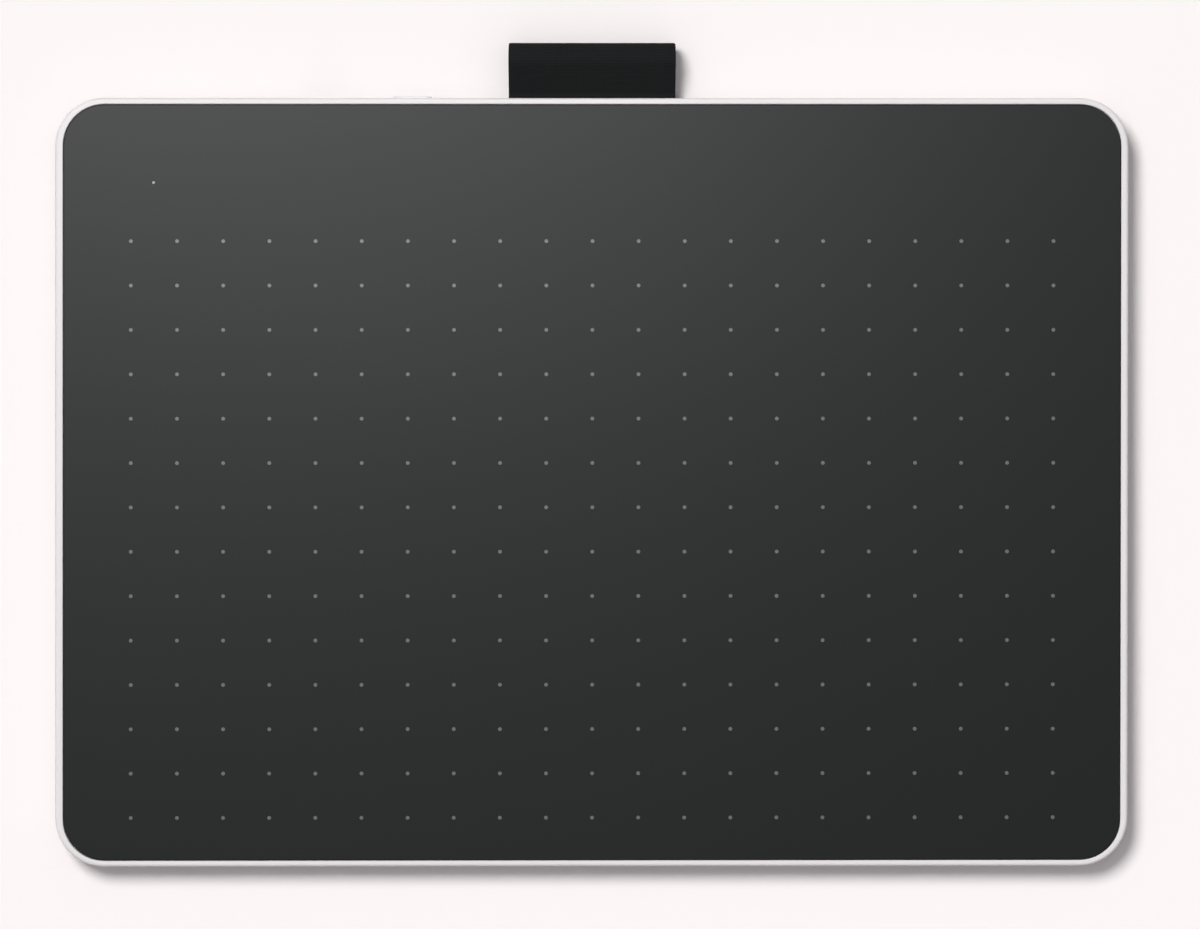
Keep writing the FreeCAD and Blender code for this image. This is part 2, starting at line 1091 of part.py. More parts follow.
def make_battery_wires():
    """Three insulated wires from the plug to the cell, each straight at both ends."""
    wires = []
    for i in (-1, 0, 1):
        start_y = socket_y + i * wire_pitch
        end_y = battery_y + i * wire_pitch
        points = [
            Vector(plug_end_x, start_y, wire_z),
            Vector(plug_end_x + wire_straight, start_y, wire_z),
            Vector(battery_left - wire_straight, end_y, lead_z),
            Vector(battery_left, end_y, lead_z),
        ]
        circle = Part.Wire(Part.makeCircle(wire_diameter / 2, points[0], X))
        path = bent_path(points, wire_bend_radius)
        wires.append(path.makePipeShell([circle], True, False))
    return wires


def make_port_shell():
    """The steel shell of the charging port with its two solder tabs."""
    outer = pill(
        port_x,
        middle_level,
        port_width,
        port_height,
        port_height / 2,
        port_back,
        port_mouth,
    )
    tab_y = (port_back + board_rear) / 2
    tabs = [
        block(
            port_x - port_width / 2 - port_tab_reach,
            port_x + port_width / 2 + port_tab_reach,
            tab_y - port_tab_length / 2,
            tab_y + port_tab_length / 2,
            board_top,
            board_top + port_tab_thickness,
        )
    ]
    inner = pill(
        port_x,
        middle_level,
        port_width - 2 * port_wall,
        port_height - 2 * port_wall,
        port_height / 2 - port_wall,
        port_back,
        port_mouth,
    )
    return outer.fuse(tabs).cut(inner).removeSplitter()


def make_port_tongue():
    """The black insert of the port: a base block with the contact tongue."""
    gap = port_wall + tongue_clearance
    base = pill(
        port_x,
        middle_level,
        port_width - 2 * gap,
        port_height - 2 * gap,
        port_height / 2 - gap,
        port_back,
        port_back + tongue_base,
    )
    tongue = block(
        port_x - tongue_width / 2,
        port_x + tongue_width / 2,
        port_back,
        port_back + tongue_base + tongue_length,
        middle_level - tongue_thickness / 2,
        middle_level + tongue_thickness / 2,
    )
    return base.fuse(tongue).removeSplitter()


def make_port_contacts():
    """The gold contacts on both faces of the tongue."""
    contacts = []
    start = port_back + tongue_base
    for i in range(contact_count):
        x = port_x + (i - (contact_count - 1) / 2) * contact_pitch
        for side in (-1, 1):
            face = middle_level + side * tongue_thickness / 2
            z0, z1 = sorted((face, face + side * contact_thickness))
            contacts.append(
                block(
                    x - contact_width / 2,
                    x + contact_width / 2,
                    start,
                    start + contact_length,
                    z0,
                    z1,
                )
            )
    return contacts


def make_power_button():
    """The pill-shaped key in the rear wall with its retaining flange."""
    cap = pill(
        button_x,
        middle_level,
        button_width,
        button_height,
        button_height / 2,
        flange_rear,
        rear_y + button_proud,
    )
    rim = [
        edge
        for edge in cap.Edges
        if abs(edge.BoundBox.YMin - rear_y - button_proud) < closeness
    ]
    cap = cap.makeFillet(button_edge_radius, rim)
    flange = pill(
        button_x,
        middle_level,
        button_flange_width,
        button_flange_height,
        button_edge_radius,
        flange_front,
        flange_rear,
    )
    return cap.fuse(flange).removeSplitter()


def make_switch_body():
    """The side-push switch on the main board, hollow where its plunger slides."""
    body = block(
        button_x - switch_width / 2,
        button_x + switch_width / 2,
        switch_rear - switch_depth,
        switch_rear,
        board_top,
        board_top + switch_height,
    )
    half_width = plunger_width / 2 + switch_cavity_clearance
    half_height = plunger_height / 2 + switch_cavity_clearance
    cavity = block(
        button_x - half_width,
        button_x + half_width,
        switch_rear - plunger_tail - button_travel - switch_cavity_clearance,
        switch_rear,
        plunger_z - half_height,
        plunger_z + half_height,
    )
    return body.cut(cavity)


def make_switch_plunger():
    """The switch's sliding plunger, which the button's flange pushes."""
    return block(
        button_x - plunger_width / 2,
        button_x + plunger_width / 2,
        switch_rear - plunger_tail,
        flange_front,
        plunger_z - plunger_height / 2,
        plunger_z + plunger_height / 2,
    )


def loop_arcs():
    """Centre-line radii of the loop's side: the hollow arc, the round end, and its centre."""
    half = strap_thickness / 2
    end_radius = loop_half_height - half
    end_centre = loop_reach - loop_pivot_out - loop_half_height
    hollow_radius = (end_centre**2 + half**2 - end_radius**2) / (
        2 * end_radius - strap_thickness
    )
    return hollow_radius, end_radius, end_centre


def loop_point(along, up):
    """A point of the loop's side view, counted from its pivot."""
    return Vector(-strap_width / 2, pivot_y + along, middle_level + up)


def loop_outline(offset, start):
    """One closed outline of the loop's side view, offset outwards from the centre line.

    It leaves the start on a hollow arc, goes round the end, and returns mirrored.
    """
    hollow_radius, end_radius, end_centre = loop_arcs()
    hub_up = strap_thickness / 2 + hollow_radius
    lean = math.atan2(hub_up, end_centre)
    hollow = hollow_radius - offset
    end = end_radius + offset

    def on_hollow(angle, side):
        along = hollow * math.sin(angle)
        up = hub_up - hollow * math.cos(angle)
        return loop_point(along, side * up)

    def on_end(angle, side):
        along = end_centre - end * math.cos(angle)
        return loop_point(along, side * end * math.sin(angle))

    first = math.asin(start / hollow)
    last = math.pi / 2 - lean
    middle = (first + last) / 2
    edges = []
    for side in (1, -1):
        edges.append(
            Part.Arc(
                on_hollow(first, side), on_hollow(middle, side), on_hollow(last, side)
            ).toShape()
        )
    edges.append(Part.Arc(on_end(lean, 1), on_end(math.pi, 1), on_end(lean, -1)).toShape())
    return edges, on_hollow(first, 1), on_hollow(first, -1)


def make_pen_loop():
    """The woven loop outside the slot, which holds a pen and bends up and down."""
    outer, top, bottom = loop_outline(strap_thickness / 2, 0)
    outer.append(Part.Arc(bottom, loop_point(-strap_thickness, 0), top).toShape())
    inner, top, bottom = loop_outline(-strap_thickness / 2, loop_seam)
    inner.append(Part.makeLine(bottom, top))
    wires = [Part.Wire(Part.__sortEdges__(edges)) for edges in (outer, inner)]
    face = Part.makeFace(wires, "Part::FaceMakerBullseye")
    return face.extrude(X * strap_width)


def make_loop_tail():
    """The part of the strap inside the slot, wrapped round the rod."""
    start = Vector(-strap_width / 2, rod_y, middle_level)
    bore = rod_radius + rod_clearance
    wrap = Part.makeCylinder(bore + strap_thickness - rod_clearance, strap_width, start, X)
    neck = block(
        -strap_width / 2,
        strap_width / 2,
        rod_y,
        pivot_y - strap_thickness - loop_tail_gap,
        middle_level - strap_thickness,
        middle_level + strap_thickness,
    )
    hole = Part.makeCylinder(bore, strap_width, start, X)
    return wrap.fuse(neck).cut(hole).removeSplitter()


def make_loop_rod():
    """The rod through the strap's hem, held in the tray's cradles."""
    start = Vector(-rod_half_length, rod_y, middle_level)
    return Part.makeCylinder(rod_radius, 2 * rod_half_length, start, X)


def main():
    os.makedirs("parts", exist_ok=True)
    save("bottom_case", make_bottom_case())
    save("top_cover", make_top_cover())
    save("surface_sheet", make_surface_sheet())
    save("grid_dots", make_grid_dots())
    for name, x, y in foot_corners:
        save(name, make_foot(x, y))
    save("case_screws", make_case_screws())

    save("sensor_adhesive", make_sensor_adhesive())
    save("upright_coils", make_upright_coils())
    save("sensor_board", make_sensor_board())
    save("level_coils", make_level_coils())
    save("insulating_film", stack_sheet(shield_top, film_top))
    save("shield_plate", stack_sheet(foam_top, shield_top))
    save("support_foam", stack_sheet(rib_top, foam_top))

    save("light_pipe", make_light_pipe())
    save("status_led", make_status_led())
    save("main_board", make_main_board())
    save("board_screws", make_board_screws())
    save(
        "controller_chip",
        on_board(
            controller_x, controller_y, controller_size, controller_size, controller_height
        ),
    )
    save(
        "radio_module",
        on_board(
            board_left + radio_in_from_left,
            board_rear - radio_in_from_rear,
            radio_width,
            radio_depth,
            radio_height,
        ),
    )
    save(
        "charger_chip",
        on_board(charger_x, controller_y, charger_size, charger_size, charger_height),
    )
    save(
        "power_inductor",
        on_board(
            coil_core_x, controller_y, coil_core_size, coil_core_size, coil_core_height
        ),
    )
    save(
        "clock_crystal",
        on_board(
            (controller_x + charger_x) / 2,
            controller_y,
            crystal_width,
            crystal_depth,
            crystal_height,
        ),
    )
    save("board_passives", make_passives())
    save("flex_connector", make_flex_connector())
    save("sensor_flex", make_sensor_flex())

    save("battery_pack", make_battery_pack())
    save("battery_tape", make_battery_tape())
    save("battery_socket", make_battery_socket())
    save("battery_plug", make_battery_plug())
    save("battery_wires", make_battery_wires())

    save("port_shell", make_port_shell())
    save("port_tongue", make_port_tongue())
    save("port_contacts", make_port_contacts())
    save("power_button", make_power_button())
    save("switch_body", make_switch_body())
    save("switch_plunger", make_switch_plunger())

    save("pen_loop", make_pen_loop())
    save("loop_tail", make_loop_tail())
    save("loop_rod", make_loop_rod())


main()
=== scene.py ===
import json
import math

import bpy
import numpy as np
from mathutils import Euler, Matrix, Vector


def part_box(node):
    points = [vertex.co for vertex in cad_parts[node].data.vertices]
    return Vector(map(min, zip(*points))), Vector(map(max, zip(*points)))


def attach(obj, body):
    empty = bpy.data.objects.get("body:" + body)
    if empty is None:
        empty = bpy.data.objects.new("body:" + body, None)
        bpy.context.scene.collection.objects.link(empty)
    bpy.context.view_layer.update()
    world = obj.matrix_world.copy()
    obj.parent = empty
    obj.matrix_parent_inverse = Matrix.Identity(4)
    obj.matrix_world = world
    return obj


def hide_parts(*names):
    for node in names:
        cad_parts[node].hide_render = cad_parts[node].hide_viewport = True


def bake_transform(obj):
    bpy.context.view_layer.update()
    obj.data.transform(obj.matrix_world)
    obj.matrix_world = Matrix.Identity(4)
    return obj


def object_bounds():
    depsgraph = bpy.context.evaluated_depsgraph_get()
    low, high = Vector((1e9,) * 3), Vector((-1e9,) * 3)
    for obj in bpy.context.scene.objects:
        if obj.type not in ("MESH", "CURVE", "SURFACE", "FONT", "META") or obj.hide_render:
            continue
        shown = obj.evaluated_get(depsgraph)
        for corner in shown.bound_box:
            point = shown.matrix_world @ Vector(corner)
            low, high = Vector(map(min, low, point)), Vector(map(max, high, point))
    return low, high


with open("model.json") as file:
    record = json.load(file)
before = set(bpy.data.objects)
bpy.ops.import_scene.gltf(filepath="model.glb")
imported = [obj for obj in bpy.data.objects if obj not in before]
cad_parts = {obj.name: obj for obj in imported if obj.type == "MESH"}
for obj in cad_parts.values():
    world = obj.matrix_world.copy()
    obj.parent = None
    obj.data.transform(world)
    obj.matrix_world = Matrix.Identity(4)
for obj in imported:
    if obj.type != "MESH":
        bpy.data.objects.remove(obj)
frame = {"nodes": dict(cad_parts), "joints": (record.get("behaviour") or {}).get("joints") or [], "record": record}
cad_low, cad_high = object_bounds()
nodes = frame["nodes"]
joints = {joint["name"]: joint for joint in frame["joints"]}
flex_pivot = joints["loop_flex"]["pos_m"]

MM = 0.001

# The photograph's frame on the tablet's top: its width, its middle, and how far the view leans
FRAME_WIDTH = 280.8 * MM
FRAME_MIDDLE = (1.79 * MM, -2.23 * MM)
LEAN_LEFT = math.radians(2.2)
LEAN_REAR = math.radians(1.85)
ROLL = math.radians(0.05)
LENS = 700.0
SENSOR = 36.0

# The key light's slope across and along the desk, for each unit of height, and its width in the sky
KEY_ACROSS = 0.395
KEY_ALONG = 0.465
KEY_WIDTH = math.radians(22)
KEY_ENERGY = 2.355
KEY_COLOUR = (1.0, 0.99, 0.98)

# The panel over the rear left, which shows as a sheen on the sheet
PANEL_PLACE = (-0.08, 0.15, 0.34)
PANEL_WIDTH = 0.26
PANEL_DEPTH = 0.12
PANEL_ENERGY = 1.62

# The floor and the surroundings, as they look and as they light things
FLOOR_REACH = 12.0
FLOOR_LEVEL = -0.05 * MM
FLOOR_LOOK = (0.985, 0.950, 0.941)
FLOOR_LIGHT = (0.45, 0.44, 0.44)
HORIZON_LOOK = (0.982, 0.950, 0.942)
HORIZON_LIGHT = (0.230, 0.224, 0.234)
OVERHEAD_LOOK = (0.15, 0.15, 0.16)
OVERHEAD_LIGHT = (0.385, 0.375, 0.392)

# The woven strap: its section, its line round the rod and at the slot, and its weave
STRAP_THICKNESS = 0.70 * MM
STRAP_BEND = 1.2 * MM
ROD_SLACK = 0.02 * MM
ROD_REACH = 2.3 * MM
RIB_PITCH = 0.60 * MM
RIB_DEPTH = 0.045 * MM
RIB_FULLNESS = 0.8
SELVEDGE_WAVE = 0.0012
YARN_PITCH = 0.42 * MM
TWIST_PITCH = 0.16 * MM
TWIST_SLOPE = 2.2
STEPS_PER_RIB = 8
FACE_COLUMNS = 28
SELVEDGE_STEPS = 7

# The printed grid of dots
DOT_COLUMNS = 21
DOT_ROWS = 14
DOT_RADIUS = 0.45 * MM
DOT_SIDES = 18
DOT_BEVEL = 0.02 * MM

# The part of the sheet that writing wears, from its middle
WORN_ACROSS = 110 * MM
WORN_ALONG = 75 * MM

# The printed windings of the sensor board
UPRIGHT_COILS = 18
LEVEL_COILS = 12
COIL_GAP = 1.0 * MM
COIL_CORNER = 1.6 * MM
TURNS = 5
TRACE_WIDTH = 0.22 * MM
TRACE_PITCH = 0.40 * MM
PAD_SIZE = 0.6 * MM
PAD_CORNER = 0.276 * MM
PAD_STEPS = 4

# Print, traces, glass weave and plated holes on the boards, with painted shade in the holes
PRINT_GAP = 0.45 * MM
PRINT_WIDTH = 0.12 * MM
LANE_PITCH = 0.5 * MM
TRACE_AREA = 3.2 * MM
GLASS_PITCH = 0.45 * MM
GOLD_PLATE = (0.80, 0.58, 0.26)
PAINTED_HOLE_SHADE = (0.01, 0.01, 0.01)

# Scattered vias: their spacing, and the radius of plate and hole as a share of it
VIA_SPACING = 2.4 * MM
VIA_PLATE = 0.10
VIA_HOLE = 0.045

# The row of vias at the rear of the sensor board
ROW_PITCH = 3.0 * MM
ROW_INSET = 1.4 * MM
ROW_PLATE = 0.35 * MM
ROW_HOLE = 0.15 * MM

# Chips, and the dimple that marks the first lead of each
LEAD_PITCH = 0.5 * MM
LEAD_WIDTH = 0.26 * MM
LEAD_DEPTH = 0.4 * MM
LEAD_HEIGHT = 0.22 * MM
LEAD_PROUD = 0.03 * MM
DIMPLE_INSET = 0.75 * MM
DIMPLE_RADIUS = 0.30 * MM
DIMPLE_FLOOR = 0.26 * MM

# Small resistors and capacitors
PASSIVE_LENGTH = 1.0 * MM
PASSIVE_WIDTH = 0.5 * MM
PASSIVE_HEIGHT = 0.5 * MM
PASSIVE_PITCH = 1.5 * MM
PASSIVE_ROW = 5
END_LENGTH = 0.26 * MM
END_PROUD = 0.03 * MM

# The battery's leads
WIRE_PITCH = 1.25 * MM

# Steps round a corner, round the edge of a soft or drawn part, and along an arc of the strap
CORNER_STEPS = 7
SMALL_CORNER_STEPS = 2
EDGE_STEPS = 6
ARC_STEPS = 60

# The bend left where an inset is more than a corner's radius, and the angle of a sharp edge
LEAST_BEND = 0.001 * MM
CREASE = math.radians(30)

# Cuts on small moulded and plated parts
FINE_CHAMFER = 0.02 * MM
FINE_CORNER = 0.03 * MM


class Value:
    """One output of a material's node. Arithmetic on it adds Math nodes to the same material."""

    def __init__(self, finish, socket):
        self.finish = finish
        self.socket = socket

    def math(self, operation, *others):
        return self.finish.node("ShaderNodeMath", {"operation": operation}, [self, *others])

    def __add__(self, other):
        return self.math("ADD", other)

    __radd__ = __add__

    def __sub__(self, other):
        return self.math("SUBTRACT", other)

    def __rsub__(self, other):
        return self.finish.node("ShaderNodeMath", {"operation": "SUBTRACT"}, [other, self])

    def __mul__(self, other):
        return self.math("MULTIPLY", other)

    __rmul__ = __mul__

    def __truediv__(self, other):
        return self.math("DIVIDE", other)

    def __gt__(self, limit):
        return self.math("GREATER_THAN", limit)

    def __lt__(self, limit):
        return self.math("LESS_THAN", limit)

    def __abs__(self):
        return self.math("ABSOLUTE")

    def sine(self):
        return self.math("SINE")

    def root(self):
        return self.math("SQRT")

    def fraction(self):
        return self.math("FRACT")

    def larger(self, other):
        return self.math("MAXIMUM", other)

    def ease(self, start, stop):
        """0 before start, 1 past stop, and smooth between them. Stop may be the lower of the two."""
        settings = {"interpolation_type": "SMOOTHSTEP"}
        return self.finish.node("ShaderNodeMapRange", settings, [self, start, stop])


class Finish:
    """A material with one Principled shader. One method adds every other node."""

    def __init__(self, name, **constants):
        self.material = bpy.data.materials.new(name)
        self.material.use_nodes = True
        self.tree = self.material.node_tree
        self.shader = self.tree.nodes["Principled BSDF"]
        self.feed(**constants)

    @classmethod
    def of_world(cls, world):
        """The same methods on a world's own nodes."""
        made = cls.__new__(cls)
        made.tree = world.node_tree
        made.shader = made.tree.nodes["Background"]
        return made

    def node(self, kind, settings, sockets=(), output=0):
        """Adds a node: its settings first, then the values or links of its sockets, by number or name."""
        made = self.tree.nodes.new(kind)
        for key, value in settings.items():
            setattr(made, key, value)
        if not isinstance(sockets, dict):
            sockets = dict(enumerate(sockets))
        for key, value in sockets.items():
            self.fill(made.inputs[key], value)
        return Value(self, made.outputs[output])

    def fill(self, socket, value):
        """Links a value to a socket, or sets a constant on it."""
        if isinstance(value, Value):
            self.tree.links.new(value.socket, socket)
        elif socket.type == "RGBA":
            socket.default_value = (*value, 1.0)
        else:
            socket.default_value = value

    def feed(self, **sockets):
        """Fills the shader's own sockets, whose names have an underscore here for each space."""
        for name, value in sockets.items():
            self.fill(self.shader.inputs[name.replace("_", " ")], value)

    def place(self):
        """The point of the surface, in metres."""
        return self.node("ShaderNodeTexCoord", {}, output="Object")

    def woven_place(self):
        """The point of a cloth: across its width and along its length, in metres."""
        return self.node("ShaderNodeUVMap", {"uv_map": "weave"})

    def parts(self, vector):
        """The three numbers of a vector."""
        split = self.node("ShaderNodeSeparateXYZ", {}, [vector])
        return [Value(self, socket) for socket in split.socket.node.outputs]

    def noise(self, size, detail=2.0):
        """Cloudy noise from 0 to 1, whose grains are about that size in metres."""
        sockets = {"Vector": self.place(), "Scale": 1.0 / size, "Detail": detail}
        return self.node("ShaderNodeTexNoise", {}, sockets)

    def streaks(self, counts, detail=2.0):
        """Cloudy noise from 0 to 1, with its own number of grains to the metre along each axis."""
        stretched = self.node("ShaderNodeVectorMath", {"operation": "MULTIPLY"}, [self.place(), counts])
        return self.node("ShaderNodeTexNoise", {}, {"Vector": stretched, "Scale": 1.0, "Detail": detail})

    def grains(self, size):
        """Distance to the nearest of many scattered points, about size apart, as a share of that size."""
        return self.node("ShaderNodeTexVoronoi", {}, {"Vector": self.place(), "Scale": 1.0 / size})

    def tint(self, colour, amount):
        """A colour made lighter or darker by a value near 1."""
        return self.node("ShaderNodeVectorMath", {"operation": "SCALE"}, {0: colour, "Scale": amount})

    def mix(self, factor, first, second):
        """The first colour where factor is 0, the second where it is 1."""
        return self.node("ShaderNodeMix", {"data_type": "RGBA"}, {0: factor, 6: first, 7: second}, output=2)

    def relief(self, height, depth):
        """A bump from a height of 0 to 1, which stands for that depth in metres."""
        return self.node("ShaderNodeBump", {}, {"Strength": 1.0, "Distance": depth, "Height": height})


def corners(node):
    """A node's lowest and highest corners at rest, as arrays."""
    return np.array(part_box(node))


def case_plastic():
    """Pale grey-white plastic with a fine spark-eroded grain and a slightly uneven tone."""
    f = Finish("case_plastic", IOR=1.50)
    fine = f.noise(0.14 * MM, detail=3.0)
    coarse = f.noise(0.45 * MM)
    cloud = f.noise(40 * MM)
    f.feed(
        Base_Color=f.tint((0.785, 0.765, 0.769), 0.955 + 0.05 * cloud + 0.04 * coarse),
        Roughness=0.42 + 0.10 * cloud + 0.08 * coarse,
        Normal=f.relief(0.7 * fine + 0.3 * coarse, 0.012 * MM),
    )
    return f.material


def cover_plastic():
    """Near-black moulded plastic with a satin ledge."""
    f = Finish("cover_plastic", IOR=1.50, Specular_IOR_Level=0.18)
    fine = f.noise(0.16 * MM, detail=3.0)
    cloud = f.noise(25 * MM)
    f.feed(
        Base_Color=f.tint((0.0080, 0.0081, 0.0084), 0.85 + 0.3 * cloud),
        Roughness=0.58 + 0.12 * fine,
        Normal=f.relief(fine, 0.010 * MM),
    )
    return f.material


def sheet_film():
    """Charcoal writing film: a fine tooth, and a patch that writing has worn a little smoother."""
    f = Finish("sheet_film", IOR=1.50, Specular_IOR_Level=0.28)
    x, y = f.parts(f.place())[:2]
    tooth = f.grains(0.11 * MM)
    fine = f.noise(0.20 * MM, detail=3.0)
    cloud = f.noise(55 * MM)
    middle_y = corners("grid_dots")[:, 1].mean()
    worn = (abs(x) / WORN_ACROSS).larger(abs(y - middle_y) / WORN_ALONG).ease(1.05, 0.35)
    f.feed(
        Base_Color=f.tint((0.0104, 0.0121, 0.0114), 0.90 + 0.12 * cloud + 0.10 * fine),
        Roughness=0.47 + 0.05 * fine - 0.03 * worn * cloud,
        Normal=f.relief(0.6 * tooth + 0.4 * fine, 0.010 * MM),
    )
    return f.material


def dot_ink():
    """Grey screen-printed ink with a grainy edge."""
    f = Finish("dot_ink", IOR=1.50, Specular_IOR_Level=0.8)
    grain = f.noise(0.07 * MM, detail=3.0)
    f.feed(
        Base_Color=f.tint((0.118, 0.119, 0.121), 0.88 + 0.24 * grain),
        Roughness=0.39 + 0.12 * grain,
        Normal=f.relief(grain, 0.004 * MM),
    )
    return f.material


def clear_plastic():
    """The milky end of the status light's pin."""
    f = Finish("clear_plastic", IOR=1.49, Subsurface_Weight=0.15)
    cloud = f.noise(0.5 * MM)
    f.feed(
        Base_Color=f.tint((0.50, 0.52, 0.51), 0.94 + 0.10 * cloud),
        Roughness=0.20 + 0.10 * cloud,
    )
    return f.material


def strap_fabric():
    """Black ribbed weave: yarns along the strap, with a twist that the light catches. Its colour has painted
    highlights on the crowns of yarns and ribs, and painted shade in the grooves between them.
    """
    f = Finish("strap_fabric", IOR=1.45, Specular_IOR_Level=0.05, Sheen_Weight=0.01, Sheen_Roughness=0.4)
    across, along = f.parts(f.woven_place())[:2]
    yarn_and_shade = abs((across * (math.pi / YARN_PITCH)).sine())
    rib_light_and_shade = abs((along * (math.pi / RIB_PITCH)).sine())
    twist = ((across * TWIST_SLOPE + along) * (math.pi / TWIST_PITCH)).sine() * 0.5 + 0.5
    streak = f.streaks((250, 2500, 2500))
    fuzz = f.noise(0.12 * MM, detail=3.0)
    # Painted light: the yarn and rib terms make the colour lighter on the crowns and darker in the grooves between
    # them; the streaks are a random tone
    f.feed(
        Base_Color=f.tint((0.0114, 0.0121, 0.0126), 0.50 + 0.28 * yarn_and_shade + 0.26 * rib_light_and_shade + 0.42 * streak),
        Roughness=0.78 + 0.12 * fuzz - 0.08 * yarn_and_shade,
        Normal=f.relief(0.5 * yarn_and_shade + 0.2 * twist + 0.3 * fuzz, 0.030 * MM),
    )
    return f.material


def foot_rubber():
    """Dark grey matt rubber with fine pits and a bloom."""
    f = Finish("foot_rubber", IOR=1.50, Specular_IOR_Level=0.3)
    pits = f.grains(0.35 * MM)
    cloud = f.noise(6 * MM)
    f.feed(
        Base_Color=f.tint((0.048, 0.048, 0.050), 0.80 + 0.4 * cloud),
        Roughness=0.74 + 0.12 * cloud,
        Normal=f.relief(pits.ease(0.0, 0.35), 0.02 * MM),
    )
    return f.material


def button_plastic():
    """Pale satin plastic, polished a little where a finger presses."""
    f = Finish("button_plastic", IOR=1.50)
    x = f.parts(f.place())[0]
    fine = f.noise(0.12 * MM, detail=3.0)
    middle_x = corners("power_button")[:, 0].mean()
    touched = abs(x - middle_x).ease(4.5 * MM, 1.0 * MM)
    f.feed(
        Base_Color=f.tint((0.74, 0.735, 0.74), 0.97 + 0.04 * fine),
        Roughness=0.38 + 0.08 * fine - 0.10 * touched,
        Normal=f.relief(fine, 0.006 * MM),
    )
    return f.material


def metal(name, colour, roughness, streaks=(900, 120, 900), depth=0.004 * MM):
    """A metal whose tone, gloss and relief have streaks, drawn out along one axis."""
    f = Finish(name, Metallic=1.0)
    grain = f.streaks(streaks, detail=4.0)
    cloud = f.noise(4 * MM)
    f.feed(
        Base_Color=f.tint(colour, 0.88 + 0.14 * grain + 0.10 * cloud),
        Roughness=roughness + 0.14 * grain + 0.08 * cloud,
        Normal=f.relief(grain, depth),
    )
    return f.material


def moulded(name, colour, roughness, grain=0.10 * MM, depth=0.006 * MM):
    """A small moulded plastic part with a fine grain and a slightly uneven tone."""
    f = Finish(name, IOR=1.52)
    fine = f.noise(grain, detail=3.0)
    cloud = f.noise(2.5 * MM)
    f.feed(
        Base_Color=f.tint(colour, 0.86 + 0.14 * fine + 0.14 * cloud),
        Roughness=roughness + 0.14 * fine,
        Normal=f.relief(fine, depth),
    )
    return f.material


def film(name, colour, alpha, roughness):
    """A thin film with faint waves in it."""
    f = Finish(name, IOR=1.5, Alpha=alpha)
    wave = f.noise(7 * MM)
    fine = f.noise(0.3 * MM)
    f.feed(
        Base_Color=f.tint(colour, 0.88 + 0.2 * wave + 0.04 * fine),
        Roughness=roughness + 0.10 * wave,
        Normal=f.relief(wave, 0.02 * MM),
    )
    return f.material


def printed_outline(x, y, node):
    """1 on a line of print round a node's box on the board, and 0 elsewhere."""
    low, high = corners(node)[:, :2]
    middle = (low + high) / 2
    reach = (high - low) / 2
    beyond = (abs(x - middle[0]) - reach[0]).larger(abs(y - middle[1]) - reach[1])
    return abs(beyond - PRINT_GAP) < PRINT_WIDTH / 2


def circuit_board():
    """Green solder mask over copper traces in square steps, gold vias, and white print round the parts."""
    f = Finish("circuit_board", IOR=1.5)
    x, y = f.parts(f.place())[:2]
    cloud = f.noise(9 * MM)
    # Traces run one way in some areas and the other way in the rest, each in the middle of its lane
    upright = f.noise(TRACE_AREA, detail=0.0) > 0.5
    lane = (x / LANE_PITCH) * upright + (y / LANE_PITCH) * (1 - upright)
    trace = abs(lane.fraction() - 0.5).ease(0.26, 0.20)
    via = f.grains(VIA_SPACING)
    plated = via < VIA_PLATE
    hole = via < VIA_HOLE
    printed = printed_outline(x, y, "controller_chip")
    for node in ("charger_chip", "power_inductor", "clock_crystal", "radio_module"):
        printed = printed.larger(printed_outline(x, y, node))
    mask = f.mix(trace, (0.004, 0.045, 0.020), (0.009, 0.100, 0.040))
    mask = f.mix(printed, mask, (0.62, 0.64, 0.60))
    # Painted shade: the middle of each via is painted near black, for the dark inside its hole
    mask = f.mix(hole, f.mix(plated, mask, GOLD_PLATE), PAINTED_HOLE_SHADE)
    f.feed(
        Base_Color=f.tint(mask, 0.85 + 0.3 * cloud),
        Metallic=plated - hole,
        Roughness=0.34 + 0.10 * cloud + 0.2 * printed,
        Normal=f.relief(trace + 0.5 * plated - hole, 0.02 * MM),
    )
    return f.material


def sensor_laminate():
    """The large sensor board: green mask over a glass weave, with a row of vias at its rear edge."""
    f = Finish("sensor_laminate", IOR=1.5)
    x, y = f.parts(f.place())[:2]
    weave = abs((x * (math.pi / GLASS_PITCH)).sine()) * abs((y * (math.pi / GLASS_PITCH)).sine())
    cloud = f.noise(30 * MM)
    off_x = ((x / ROW_PITCH).fraction() - 0.5) * ROW_PITCH
    off_y = y - (corners("sensor_board")[1, 1] - ROW_INSET)
    apart = (off_x * off_x + off_y * off_y).root()
    plated = apart < ROW_PLATE
    hole = apart < ROW_HOLE
    mask = f.mix(weave, (0.005, 0.058, 0.026), (0.008, 0.076, 0.034))
    # Painted shade: the middle of each via is painted near black, for the dark inside its hole
    mask = f.mix(hole, f.mix(plated, mask, GOLD_PLATE), PAINTED_HOLE_SHADE)
    f.feed(
        Base_Color=f.tint(mask, 0.85 + 0.3 * cloud),
        Metallic=plated - hole,
        Roughness=0.36 + 0.12 * cloud,
        Normal=f.relief(0.4 * weave + 0.6 * plated - hole, 0.012 * MM),
    )
    return f.material


def flex_circuit():
    """Amber film with copper lines along it."""
    f = Finish("flex_circuit", IOR=1.5)
    x = f.parts(f.place())[0]
    line = abs((x / LANE_PITCH).fraction() - 0.5).ease(0.30, 0.24)
    wave = f.noise(7 * MM)
    f.feed(
        Base_Color=f.tint(f.mix(line, (0.44, 0.17, 0.03), (0.66, 0.30, 0.10)), 0.90 + 0.15 * wave),
        Metallic=0.55 * line,
        Roughness=0.24 + 0.10 * wave,
        Normal=f.relief(line, 0.012 * MM),
    )
    return f.material


